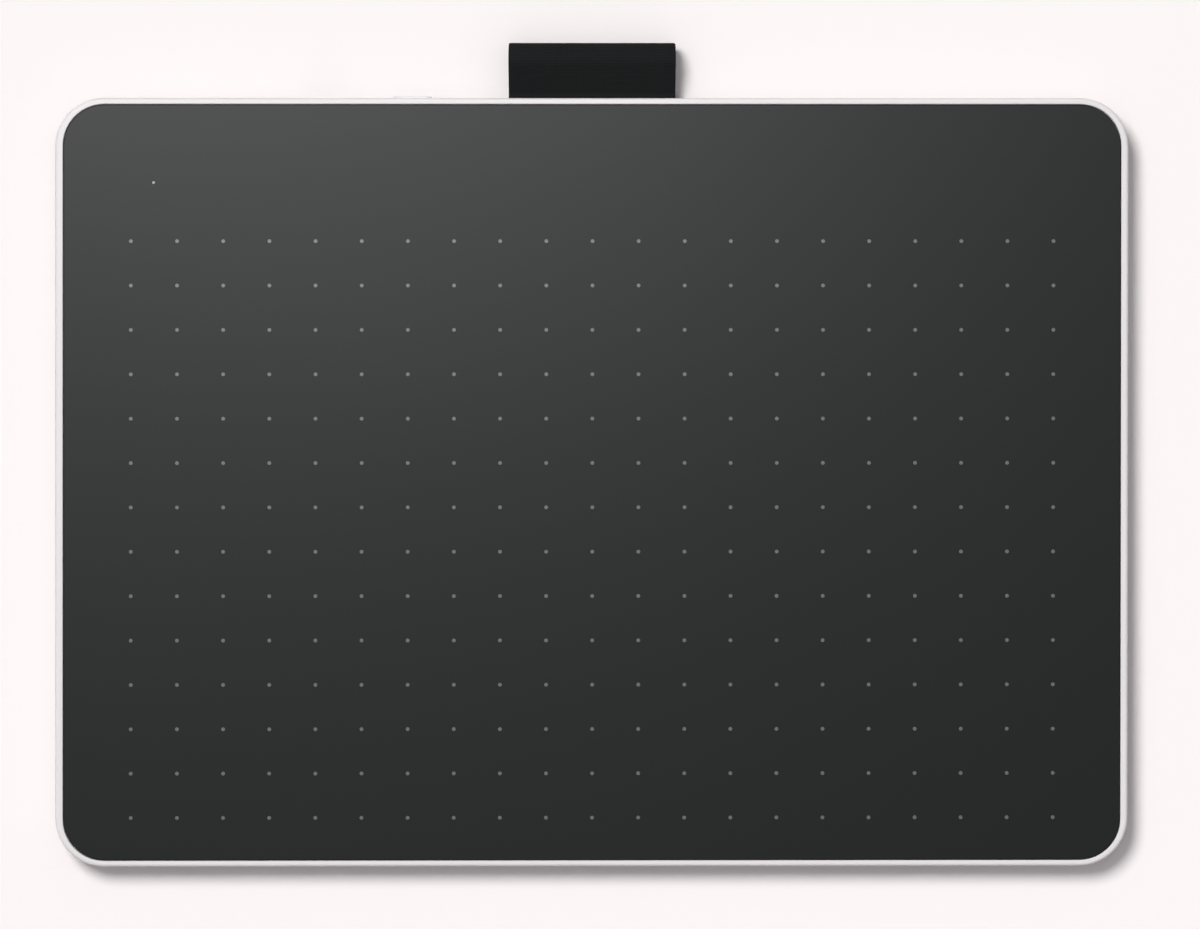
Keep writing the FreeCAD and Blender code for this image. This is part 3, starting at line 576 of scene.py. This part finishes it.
def dimple(x, y, node):
    """1 inside a round mark near the rear left corner of a node's box, and 0 elsewhere."""
    low, high = corners(node)
    off_x = x - (low[0] + DIMPLE_INSET)
    off_y = y - (high[1] - DIMPLE_INSET)
    return (off_x * off_x + off_y * off_y).root().ease(DIMPLE_RADIUS, DIMPLE_FLOOR)


def chip_resin():
    """Black moulding resin, with a round dimple that marks the first lead of each chip."""
    f = Finish("chip_resin", IOR=1.52)
    x, y = f.parts(f.place())[:2]
    fine = f.noise(0.07 * MM, detail=3.0)
    cloud = f.noise(2.5 * MM)
    mark = dimple(x, y, "controller_chip").larger(dimple(x, y, "charger_chip"))
    f.feed(
        Base_Color=f.tint((0.020, 0.020, 0.022), 0.86 + 0.14 * fine + 0.14 * cloud + 0.8 * mark),
        Roughness=0.55 + 0.14 * fine - 0.25 * mark,
        Normal=f.relief(0.2 * fine - mark, 0.03 * MM),
    )
    return f.material


def wire_insulation():
    """Soft insulation: black, white and red, one for each lead from front to rear."""
    f = Finish("wire_insulation", IOR=1.5)
    x, y = f.parts(f.place())[:2]
    fine = f.noise(0.25 * MM)
    plug_y = corners("battery_plug")[:, 1].mean()
    cell_y = corners("battery_pack")[:, 1].mean()
    near_cell = x.ease(*corners("battery_wires")[:, 0])
    side = y - (plug_y + (cell_y - plug_y) * near_cell)
    front = side < -WIRE_PITCH / 2
    rear = side > WIRE_PITCH / 2
    shade = f.mix(rear, (0.62, 0.60, 0.56), (0.42, 0.02, 0.015))
    shade = f.mix(front, shade, (0.02, 0.02, 0.021))
    f.feed(
        Base_Color=f.tint(shade, 0.9 + 0.15 * fine),
        Roughness=0.42 + 0.12 * fine,
    )
    return f.material


FINISHES = {
    "case_plastic": case_plastic(),
    "button_plastic": button_plastic(),
    "cover_plastic": cover_plastic(),
    "sheet_film": sheet_film(),
    "dot_ink": dot_ink(),
    "clear_plastic": clear_plastic(),
    "lamp_resin": moulded("lamp_resin", (0.80, 0.78, 0.60), 0.25),
    "lamp_lens": moulded("lamp_lens", (0.78, 0.60, 0.10), 0.12),
    "bonding_film": film("bonding_film", (0.70, 0.66, 0.52), 0.8, 0.30),
    "amber_film": film("amber_film", (0.48, 0.20, 0.035), 1.0, 0.24),
    "circuit_board": circuit_board(),
    "sensor_laminate": sensor_laminate(),
    "flex_circuit": flex_circuit(),
    "copper": metal("copper", (0.78, 0.42, 0.27), 0.26),
    "shield_metal": metal("shield_metal", (0.62, 0.63, 0.65), 0.34, streaks=(40, 1600, 900)),
    "steel": metal("steel", (0.62, 0.61, 0.60), 0.22),
    "gold": metal("gold", (0.86, 0.62, 0.27), 0.16),
    "pouch": metal("pouch", (0.66, 0.67, 0.69), 0.36, streaks=(180, 260, 400), depth=0.06 * MM),
    "foam": moulded("foam", (0.055, 0.055, 0.060), 0.80, grain=0.6 * MM, depth=0.10 * MM),
    "chip_resin": chip_resin(),
    "ceramic": moulded("ceramic", (0.30, 0.22, 0.15), 0.35),
    "connector_plastic": moulded("connector_plastic", (0.70, 0.67, 0.58), 0.38),
    "port_plastic": moulded("port_plastic", (0.014, 0.014, 0.015), 0.38),
    "wire_insulation": wire_insulation(),
    "foot_rubber": foot_rubber(),
    "strap_fabric": strap_fabric(),
}

# Nodes whose finish differs from others of their slot
NODE_FINISHES = {"sensor_board": "sensor_laminate", "sensor_flex": "flex_circuit"}


def dress(piece, slot, finish=None):
    """Gives a piece the finish of its slot, or one of its own."""
    piece.data.materials.clear()
    piece.data.materials.append(FINISHES[finish or slot])
    return piece


def dress_nodes():
    """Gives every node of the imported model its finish."""
    for row in frame["record"]["subparts"]:
        dress(nodes[row["node"]], row["material_slot"], NODE_FINISHES.get(row["node"]))


def new_piece(name, points, faces, crease=None):
    """A mesh object at the origin, from an array of points and one array of faces for each kind of face.

    Edges that turn more than the crease angle are sharp; without one the whole piece is smooth.
    """
    mesh = bpy.data.meshes.new(name)
    rows = [face for kind in faces for face in kind.tolist()]
    mesh.from_pydata(points.reshape(-1, 3).tolist(), [], rows)
    mesh.shade_smooth()
    if crease is not None:
        mesh.set_sharp_from_angle(angle=crease)
    piece = bpy.data.objects.new(name, mesh)
    bpy.context.scene.collection.objects.link(piece)
    return piece


def hard_piece(name, slot, parts, replaces=(), finish=None):
    """A rigid piece of one or more closed shapes. It rides on the tablet and may stand for CAD nodes."""
    piece = new_piece(name, *joined(parts), crease=CREASE)
    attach(piece, "tablet")
    if replaces:
        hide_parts(*replaces)
    return dress(piece, slot, finish)


def joined(parts):
    """The points and faces of several shapes as one set. Faces of unlike numbers of corners stay apart."""
    points = np.concatenate([shape.reshape(-1, 3) for shape, kinds in parts])
    starts = np.cumsum([0] + [shape.size // 3 for shape, kinds in parts])
    return points, [kind + start for (shape, kinds), start in zip(parts, starts) for kind in kinds]


def repeated(shape, kinds, centres):
    """A shape's corners and faces, once at each centre."""
    points = shape.reshape(1, -1, 3) + np.asarray(centres)[:, None, :]
    starts = (np.arange(len(points)) * points.shape[1])[:, None, None]
    return points, [(kind[None] + starts).reshape(-1, kind.shape[1]) for kind in kinds]


def walls(rows, sides, closed=False):
    """Four-sided faces from each row of corners to the next, all the way round a row."""
    i, j = np.meshgrid(np.arange(rows if closed else rows - 1), np.arange(sides), indexing="ij")
    i, j = i.ravel(), j.ravel()
    above = (i + 1) % rows
    beside = (j + 1) % sides
    return np.stack([i * sides + j, i * sides + beside, above * sides + beside, above * sides + j], 1)


def ends(rows, sides):
    """The face that closes the first row of corners and the one that closes the last."""
    last = (rows - 1) * sides + np.arange(sides)
    return np.stack([np.arange(sides)[::-1], last])


def rounded_rings(low, high, radius, inset, steps=CORNER_STEPS):
    """A rounded rectangle for each inset, as (inset, corner, x and y), within the box from low to high.

    A point is the centre of its quarter circle plus (radius - inset) times (cos, sin). The centre lies
    one radius inside the rectangle's corner, or further in where the inset is more than the radius.
    """
    low, high, inset = (np.asarray(value, float) for value in (low, high, inset))
    bend = np.maximum(radius - inset, LEAST_BEND)
    reach = (high - low)[None, :2] / 2 - (inset + bend)[:, None]
    side = np.repeat([(1, 1), (-1, 1), (-1, -1), (1, -1)], steps, axis=0)
    quarter = np.linspace(0, math.pi / 2, steps)
    angle = (quarter + np.arange(4)[:, None] * math.pi / 2).ravel()
    circle = np.stack([np.cos(angle), np.sin(angle)], 1)
    middle = (low + high)[:2] / 2
    return middle + side * reach[:, None] + circle * bend[:, None, None]


def moulding(low, high, radius, profile, steps=CORNER_STEPS):
    """A closed block: (inset, level) pairs carried round a rounded rectangle, flat at both ends."""
    inset, level = np.array(profile, float).T
    ring = rounded_rings(low, high, radius, inset, steps)
    points = np.concatenate([ring, np.broadcast_to(level[:, None, None], (*ring.shape[:2], 1))], 2)
    return points, [walls(*ring.shape[:2]), ends(*ring.shape[:2])]


def block(low, high, radius, chamfer):
    """A block with rounded upright edges and a chamfered top."""
    profile = [(0, low[2]), (0, high[2] - chamfer), (chamfer, high[2])]
    return moulding(low, high, radius, profile, SMALL_CORNER_STEPS)


def soft_top(top, radius):
    """The profile of a round top edge, from the side up to the top.

    A point is (radius (1 - cos a), top - radius + radius sin a), with a from 0 to 90 degrees.
    """
    angle = np.linspace(0, math.pi / 2, EDGE_STEPS)
    return np.stack([radius * (1 - np.cos(angle)), top - radius + radius * np.sin(angle)], 1)


def soft_edge(bottom, top, radius):
    """A profile whose top edge is rounded, and whose bottom edge is its mirror."""
    upper = soft_top(top, radius)
    lower = upper[::-1] * (1, -1) + (0, bottom + top)
    return np.concatenate([lower, upper])


def arc(centre, radius, start, stop):
    """Points along a circle from one angle to another: centre plus radius times (cos, sin)."""
    angle = np.linspace(start, stop, ARC_STEPS)
    return np.stack([centre[0] + radius * np.cos(angle), centre[1] + radius * np.sin(angle)], 1)


def flank(reach, rounded):
    """Half of one end of the strap, from its neck out to the far side of a round, as (out, up).

    It leaves the neck on a hollow arc and runs straight on to the round. The run's slope is
    arcsin((bend + round) / distance of the two centres), less the slope between those centres.
    """
    half = STRAP_THICKNESS / 2
    apart = math.hypot(reach, half + STRAP_BEND)
    slope = math.asin((STRAP_BEND + rounded) / apart) - math.atan2(half + STRAP_BEND, reach)
    quarter = math.pi / 2
    hollow = arc((0, half + STRAP_BEND), STRAP_BEND, -quarter, slope - quarter)
    return np.concatenate([hollow, arc((reach, 0), rounded, slope + quarter, 0)])


def strap_line():
    """The strap's centre line from the side, as (y, z) from its middle level, and its length so far.

    The upper half goes round the rod, down to the straight neck in the slot, and up round the pen
    space. The lower half is its mirror.
    """
    half = STRAP_THICKNESS / 2
    rod_low, rod_high = corners("loop_rod")
    loop_low, loop_high = corners("pen_loop")
    rod_y = (rod_low[1] + rod_high[1]) / 2
    rod_round = (rod_high[1] - rod_low[1]) / 2 + half + ROD_SLACK
    end_round = (loop_high[2] - loop_low[2]) / 2 - half
    end_y = loop_high[1] - half - end_round
    inner = flank(ROD_REACH, rod_round)[::-1] * (-1, 1) + (rod_y + ROD_REACH, 0)
    outer = flank(end_y - flex_pivot[1], end_round) + (flex_pivot[1], 0)
    upper = np.concatenate([inner, outer])
    line = np.concatenate([upper, upper[-2::-1] * (1, -1)])
    steps = np.linalg.norm(np.diff(line, axis=0), axis=1)
    return line, np.concatenate([[0], np.cumsum(steps)])


def make_strap():
    """One ribbon of cloth, closed on itself, with a rib across it at every pitch.

    A point is the centre line's point at length s, plus its normal times half the thickness, less a
    dip between ribs of depth (1 - |sin(pi s / pitch)|^fullness). Across the ribbon the profile is a
    flat face, a round selvedge, the other face and the other selvedge.
    """
    line, travelled = strap_line()
    length = travelled[-1]
    ribs = round(length / RIB_PITCH)
    along = np.arange(ribs * STEPS_PER_RIB) / (ribs * STEPS_PER_RIB) * length
    y = np.interp(along, travelled, line[:, 0])
    z = np.interp(along, travelled, line[:, 1])
    run_y = np.roll(y, -1) - np.roll(y, 1)
    run_z = np.roll(z, -1) - np.roll(z, 1)
    run = np.hypot(run_y, run_z)

    loop_low, loop_high = corners("pen_loop")
    half_width = (loop_high[0] - loop_low[0]) / 2
    half = STRAP_THICKNESS / 2
    turn = np.linspace(-math.pi / 2, math.pi / 2, SELVEDGE_STEPS)
    selvedge = half_width - half + half * np.cos(turn)
    face = np.linspace(-1, 1, FACE_COLUMNS + 2)[1:-1] * (half_width - half)
    across = np.concatenate([selvedge, face[::-1], -selvedge, face])
    side = np.concatenate([np.sin(turn), np.ones(FACE_COLUMNS), -np.sin(turn), -np.ones(FACE_COLUMNS)])

    dip = 1 - np.abs(np.sin(math.pi * along / length * ribs)) ** RIB_FULLNESS
    offset = (half - RIB_DEPTH * dip)[:, None] * side
    points = np.empty((len(along), len(across), 3))
    points[:, :, 0] = across * (1 - SELVEDGE_WAVE * dip)[:, None]
    points[:, :, 1] = y[:, None] - (run_z / run)[:, None] * offset
    points[:, :, 2] = flex_pivot[2] + z[:, None] + (run_y / run)[:, None] * offset

    rows, columns = points.shape[:2]
    faces = walls(rows, columns, closed=True)[:, ::-1]
    piece = new_piece("woven_loop", points, [faces])
    uv = piece.data.uv_layers.new(name="weave")
    row = faces[:, 2:3] // columns + np.array([1, 1, 0, 0])
    place = np.stack([across[faces % columns], row * (length / rows)], 2)
    uv.data.foreach_set("uv", place.ravel().astype(np.float32))

    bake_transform(piece)
    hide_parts("pen_loop", "loop_tail")
    dress(piece, "strap_fabric")


def make_dots():
    """The printed grid: each dot is a low disc with a bevelled edge, made as three rings of corners.

    A ring's corner is the dot's centre plus its radius times (cos, sin) at a level: the foot at full
    radius, the shoulder at full radius, and the top drawn in by the bevel.
    """
    low, high = corners("grid_dots")
    xs = np.linspace(low[0] + DOT_RADIUS, high[0] - DOT_RADIUS, DOT_COLUMNS)
    ys = np.linspace(low[1] + DOT_RADIUS, high[1] - DOT_RADIUS, DOT_ROWS)
    angle = np.arange(DOT_SIDES) / DOT_SIDES * 2 * math.pi
    radius = np.array([DOT_RADIUS, DOT_RADIUS, DOT_RADIUS - DOT_BEVEL])[:, None]
    level = np.array([low[2], high[2] - DOT_BEVEL, high[2]])[:, None]
    ring = np.stack([radius * np.cos(angle), radius * np.sin(angle), level + 0 * angle], 2)
    centres = np.stack([*np.meshgrid(xs, ys), np.zeros((DOT_ROWS, DOT_COLUMNS))], 2).reshape(-1, 3)
    shape = repeated(ring, [walls(3, DOT_SIDES), ends(3, DOT_SIDES)], centres)
    hard_piece("printed_dots", "dot_ink", [shape], replaces=["grid_dots"])


def winding(low, high, level, thickness):
    """A flat printed coil: one rectangular trace that winds inwards, with a round pad at each end.

    The trace's centre line lies on a rounded rectangle whose inset grows evenly, by one trace
    pitch in each turn. Each of its points has four corners: half a width to each side, low and high.
    """
    around = 4 * CORNER_STEPS
    step = np.arange(TURNS * around)
    inset = TRACE_WIDTH / 2 + step / around * TRACE_PITCH
    line = rounded_rings(low, high, COIL_CORNER, inset)[step, step % around]
    heading = np.gradient(line, axis=0)
    heading /= np.linalg.norm(heading, axis=1, keepdims=True)
    outward = np.stack([heading[:, 1], -heading[:, 0]], 1)
    sides = np.array([1, 1, -1, -1])[None, :, None] * TRACE_WIDTH / 2
    levels = np.broadcast_to(level + thickness * np.array([1, 0, 0, 1])[None, :, None], (len(line), 4, 1))
    points = np.concatenate([line[:, None] + outward[:, None] * sides, levels], 2)
    parts = [(points, [walls(len(line), 4), ends(len(line), 4)])]
    profile = [(0, level), (0, level + thickness)]
    for end in (line[0], line[-1]):
        parts.append(moulding(end - PAD_SIZE / 2, end + PAD_SIZE / 2, PAD_CORNER, profile, PAD_STEPS))
    return parts


def make_windings():
    """The two layers of printed coils: upright ones on the sensor board, level ones under it."""
    for name, node, axis, count in (
        ("upright_windings", "upright_coils", 0, UPRIGHT_COILS),
        ("level_windings", "level_coils", 1, LEVEL_COILS),
    ):
        low, high = corners(node)
        pitch = (high[axis] - low[axis] + COIL_GAP) / count
        parts = []
        for i in range(count):
            first, last = low.copy(), high.copy()
            first[axis] = low[axis] + i * pitch
            last[axis] = first[axis] + pitch - COIL_GAP
            parts += winding(first, last, low[2], high[2] - low[2])
        hard_piece(name, "copper", parts, replaces=[node])


def make_foam():
    """The foam sheet between the floor's ribs and the shield, with soft cut edges."""
    low, high = corners("support_foam")
    shape = moulding(low, high, radius=3 * MM, profile=soft_edge(low[2], high[2], 0.16 * MM))
    piece = new_piece("foam_sheet", *joined([shape]))
    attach(piece, "tablet")
    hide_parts("support_foam")
    dress(piece, "foam")


def make_cell():
    """The pouch cell: faces that bulge a little, a sealed seam folded round its sides, and a taped end.

    Its profile runs from the middle of the underside out to the seam's fold and back over the top.
    Both faces rise by a share of the crown that grows with the distance from the edge.
    """
    low, high = corners("battery_pack")
    head = 5.0 * MM
    overlap = 1.0 * MM
    seam = 0.30 * MM
    crown = 0.10 * MM
    rise = np.stack([np.array([2.4, 4.2, 6.4, 9.0]) * MM, np.array([0.45, 0.75, 0.93, 1.0]) * crown], 1)
    under = rise[::-1] * (1, -1) + (0, low[2] + crown)
    over = rise + (0, high[2] - crown)
    lower, upper = np.split(soft_edge(low[2] + crown, high[2] - crown, 0.9 * MM) + (seam, 0), 2)
    fold = [(seam, -0.30 * MM), (0.02 * MM, -0.24 * MM), (0, 0.40 * MM), (seam, 0.46 * MM)]
    fold = np.array(fold) + (0, (low[2] + high[2]) / 2)
    profile = np.concatenate([under, lower, fold, upper, over])
    pouch = moulding(low + (head - overlap, 0, 0), high, radius=1.6 * MM, profile=profile)
    hard_piece("cell_pouch", "pouch", [pouch], replaces=["battery_pack"])

    cap_low = low + (0, 0.8 * MM, 0.45 * MM)
    cap_high = np.array([low[0] + head, high[1] - 0.8 * MM, high[2] - 0.45 * MM])
    profile = soft_edge(cap_low[2], cap_high[2], 0.5 * MM)
    cap = moulding(cap_low, cap_high, radius=0.8 * MM, profile=profile)
    hard_piece("cell_end_tape", "amber_film", [cap])


def leads(low, high, count):
    """Plated leads along all four sides of a chip, count to a side, that stand a little proud of it."""
    spread = (np.arange(count) - (count - 1) / 2) * LEAD_PITCH
    middle = (low + high) / 2
    parts = []
    for along in (0, 1):
        size = np.array([LEAD_DEPTH, LEAD_DEPTH, LEAD_HEIGHT])
        size[along] = LEAD_WIDTH
        for edge in (low[1 - along] + LEAD_DEPTH / 2, high[1 - along] - LEAD_DEPTH / 2):
            centres = np.zeros((count, 3))
            centres[:, along] = middle[along] + spread
            centres[:, 1 - along] = edge
            centres[:, 2] = low[2] + LEAD_HEIGHT / 2
            lead = block(-size / 2, size / 2, radius=FINE_CORNER, chamfer=FINE_CHAMFER)
            parts.append(repeated(*lead, centres))
    return parts


def make_chips():
    """The controller and the charger: moulded bodies with chamfered tops over rows of leads."""
    for name, node, count in (("controller", "controller_chip", 12), ("charger", "charger_chip", 6)):
        low, high = corners(node)
        inset = (LEAD_PROUD, LEAD_PROUD, 0)
        body = block(low + inset, high - inset, radius=0.12 * MM, chamfer=0.06 * MM)
        hard_piece(name + "_body", "chip_resin", [body], replaces=[node])
        hard_piece(name + "_leads", "steel", leads(low, high, count))


def make_radio():
    """The radio module: a small board, and a drawn can on it with a soldered foot and a soft top edge."""
    low, high = corners("radio_module")
    seat = low[2] + 0.35 * MM
    base = block(low, (*high[:2], seat), radius=0.2 * MM, chamfer=FINE_CHAMFER)
    hard_piece("radio_base", "circuit_board", [base])
    skirt = 0.05 * MM
    foot = [(0, seat), (0, seat + 0.08 * MM), (skirt, seat + 0.10 * MM)]
    profile = np.concatenate([foot, soft_top(high[2], 0.28 * MM) + (skirt, 0)])
    inset = (0.45 * MM, 0.45 * MM, 0)
    can = moulding(low + inset, high - inset, radius=0.7 * MM, profile=profile)
    hard_piece("radio_can", "steel", [can], replaces=["radio_module"])


def make_choke():
    """The power coil: a pressed block with cut corners between two plated ends."""
    low, high = corners("power_inductor")
    inset = (LEAD_PROUD, 0, 0)
    body = block(low + inset, high - inset, radius=0.55 * MM, chamfer=0.12 * MM)
    hard_piece("choke_body", "chip_resin", [body], replaces=["power_inductor"])
    plate = 0.5 * MM
    plates = []
    for edge in (low[0], high[0] - plate):
        foot = (edge, low[1] + 0.8 * MM, low[2])
        crown = (edge + plate, high[1] - 0.8 * MM, low[2] + 0.55 * MM)
        plates.append(block(foot, crown, radius=FINE_CORNER, chamfer=FINE_CHAMFER))
    hard_piece("choke_ends", "steel", plates)


def make_crystal():
    """The clock crystal: a ceramic base under a thin metal lid."""
    low, high = corners("clock_crystal")
    seat = low[2] + 0.42 * MM
    base = block(low, (*high[:2], seat), radius=0.18 * MM, chamfer=FINE_CHAMFER)
    hard_piece("crystal_base", "ceramic", [base])
    inset = (0.16 * MM, 0.16 * MM, 0)
    profile = [(0, seat), *soft_top(high[2], 0.12 * MM)]
    lid = moulding(low + inset, high - inset, radius=0.35 * MM, profile=profile)
    hard_piece("crystal_lid", "steel", [lid], replaces=["clock_crystal"])


def make_passives():
    """Rows of small resistors and capacitors: a body between two tinned ends that are a little larger."""
    chip_low, chip_high = corners("controller_chip")
    charger_low, charger_high = corners("charger_chip")
    row = (np.arange(PASSIVE_ROW) - (PASSIVE_ROW - 1) / 2) * PASSIVE_PITCH
    same = 0 * row
    chip_row = (chip_low[1] + chip_high[1]) / 2 + row
    rows = [
        (chip_low[0] - PASSIVE_PITCH + same, chip_row),
        (chip_high[0] + PASSIVE_PITCH + same, chip_row),
        ((charger_low[0] + charger_high[0]) / 2 + row, charger_low[1] - PASSIVE_PITCH + same),
    ]
    seat = corners("board_passives")[0, 2]
    centres = np.concatenate([np.stack([x, y, seat + same], 1) for x, y in rows])
    half = np.array([PASSIVE_LENGTH / 2 - END_LENGTH, PASSIVE_WIDTH / 2 - END_PROUD, 0])
    top = (0, 0, PASSIVE_HEIGHT - END_PROUD)
    body = block(-half, half + top, radius=0.01 * MM, chamfer=FINE_CHAMFER)
    hard_piece("passive_bodies", "ceramic", [repeated(*body, centres)], replaces=["board_passives"])
    tips = []
    for side in (-1, 1):
        middle = side * (PASSIVE_LENGTH - END_LENGTH) / 2
        foot = (middle - END_LENGTH / 2, -PASSIVE_WIDTH / 2, 0)
        crown = (middle + END_LENGTH / 2, PASSIVE_WIDTH / 2, PASSIVE_HEIGHT)
        tip = block(foot, crown, radius=0.05 * MM, chamfer=0.05 * MM)
        tips.append(repeated(*tip, centres))
    hard_piece("passive_ends", "steel", tips)


def make_lamp():
    """The status light's package, with tapered walls, and its domed yellow lens."""
    low, high = corners("status_led")
    rim = high[2] - 0.08 * MM
    wall = [(0, low[2]), (0, low[2] + 0.2 * MM), (0.06 * MM, rim)]
    package = moulding(low, high, radius=0.08 * MM, profile=wall)
    hard_piece("lamp_package", "lamp_resin", [package], replaces=["status_led"])
    middle = ((low + high) / 2)[:2]
    radius = 0.30 * MM
    dome = [(0, rim - 0.05 * MM), *soft_top(high[2], high[2] - rim)]
    lens = moulding(middle - radius, middle + radius, radius=0.95 * radius, profile=dome)
    hard_piece("lamp_lens", "lamp_resin", [lens], finish="lamp_lens")


def make_plug():
    """The battery's plug: a housing with chamfered edges and a window over each crimped contact."""
    low, high = corners("battery_plug")
    housing = block(low, high, radius=0.15 * MM, chamfer=0.10 * MM)
    hard_piece("plug_housing", "connector_plastic", [housing], replaces=["battery_plug"])
    reach = np.array([0.55 * MM, 0.22 * MM, 0.03 * MM])
    proud = 0.01 * MM
    window_x = low[0] + 2.6 * MM
    middle_y = (low[1] + high[1]) / 2
    centres = [(window_x, middle_y + side * WIRE_PITCH, high[2] + proud - reach[2]) for side in (-1, 0, 1)]
    window = block(-reach, reach, radius=0.05 * MM, chamfer=FINE_CHAMFER)
    hard_piece("plug_contacts", "steel", [repeated(*window, centres)])


def seen_directly(f):
    """1 for what the camera sees, also mirrored or through glass, and 0 for light that falls on things."""
    camera, mirror, glass = (
        f.node("ShaderNodeLightPath", {}, output=kind)
        for kind in ("Is Camera Ray", "Is Glossy Ray", "Is Transmission Ray")
    )
    return camera.larger(mirror).larger(glass)


def make_stage():
    """A pale floor under the tablet, which throws little light back up at its sides."""
    f = Finish("pale_floor", Specular_IOR_Level=0.0, Roughness=1.0)
    shade = f.mix(seen_directly(f), FLOOR_LIGHT, FLOOR_LOOK)
    f.feed(Base_Color=f.tint(shade, 0.998 + 0.004 * f.noise(0.4)))
    square = np.array([(-1, -1), (1, -1), (1, 1), (-1, 1)]) * FLOOR_REACH
    points = np.concatenate([square, np.full((4, 1), FLOOR_LEVEL)], 1)
    floor = new_piece("floor", points, [np.array([(0, 1, 2, 3)])])
    floor.data.materials.append(f.material)


def make_world():
    """A fill light that fades to the horizon. What is seen or mirrored is white there and dim overhead."""
    world = bpy.data.worlds.new("studio")
    world.use_nodes = True
    bpy.context.scene.world = world
    f = Finish.of_world(world)
    height = f.parts(f.node("ShaderNodeTexCoord", {}, output="Generated"))[2]
    backdrop = f.mix(height.ease(0.25, 0.85), HORIZON_LOOK, OVERHEAD_LOOK)
    fill = f.mix(height.ease(0.0, 0.8), HORIZON_LIGHT, OVERHEAD_LIGHT)
    f.feed(Color=f.mix(seen_directly(f), fill, backdrop))


def make_lamps():
    """A broad soft key from the upper left, and a near panel whose sheen falls off over the sheet."""
    key = bpy.data.lights.new("key", "SUN")
    key.energy = KEY_ENERGY
    key.angle = KEY_WIDTH
    key.color = KEY_COLOUR
    key_lamp = bpy.data.objects.new("key", key)
    key_lamp.rotation_mode = "QUATERNION"
    key_lamp.rotation_quaternion = Vector((KEY_ACROSS, -KEY_ALONG, -1)).to_track_quat("-Z", "Y")
    key_lamp.visible_glossy = False
    bpy.context.scene.collection.objects.link(key_lamp)

    panel = bpy.data.lights.new("panel", "AREA")
    panel.shape = "RECTANGLE"
    panel.size = PANEL_WIDTH
    panel.size_y = PANEL_DEPTH
    panel.energy = PANEL_ENERGY
    panel_lamp = bpy.data.objects.new("panel", panel)
    panel_lamp.location = PANEL_PLACE
    panel_lamp.visible_diffuse = False
    panel_lamp.visible_camera = False
    bpy.context.scene.collection.objects.link(panel_lamp)


def make_camera():
    """Nearly straight down, at the photograph's scale on the tablet's top."""
    camera = bpy.data.cameras.new("camera")
    camera.lens = LENS
    camera.sensor_width = SENSOR
    distance = FRAME_WIDTH * LENS / SENSOR
    lean = Euler((-LEAN_REAR, -LEAN_LEFT, ROLL))
    eye = bpy.data.objects.new("camera", camera)
    eye.rotation_euler = lean
    eye.location = Vector((*FRAME_MIDDLE, cad_high[2])) + lean.to_matrix() @ Vector((0, 0, distance))
    bpy.context.scene.collection.objects.link(eye)
    bpy.context.scene.camera = eye


make_camera()
make_lamps()
make_world()
make_stage()
dress_nodes()
make_strap()
make_dots()
make_windings()
make_foam()
make_cell()
make_chips()
make_radio()
make_choke()
make_crystal()
make_passives()
make_lamp()
make_plug()
bpy.context.scene.view_settings.view_transform = "Standard"
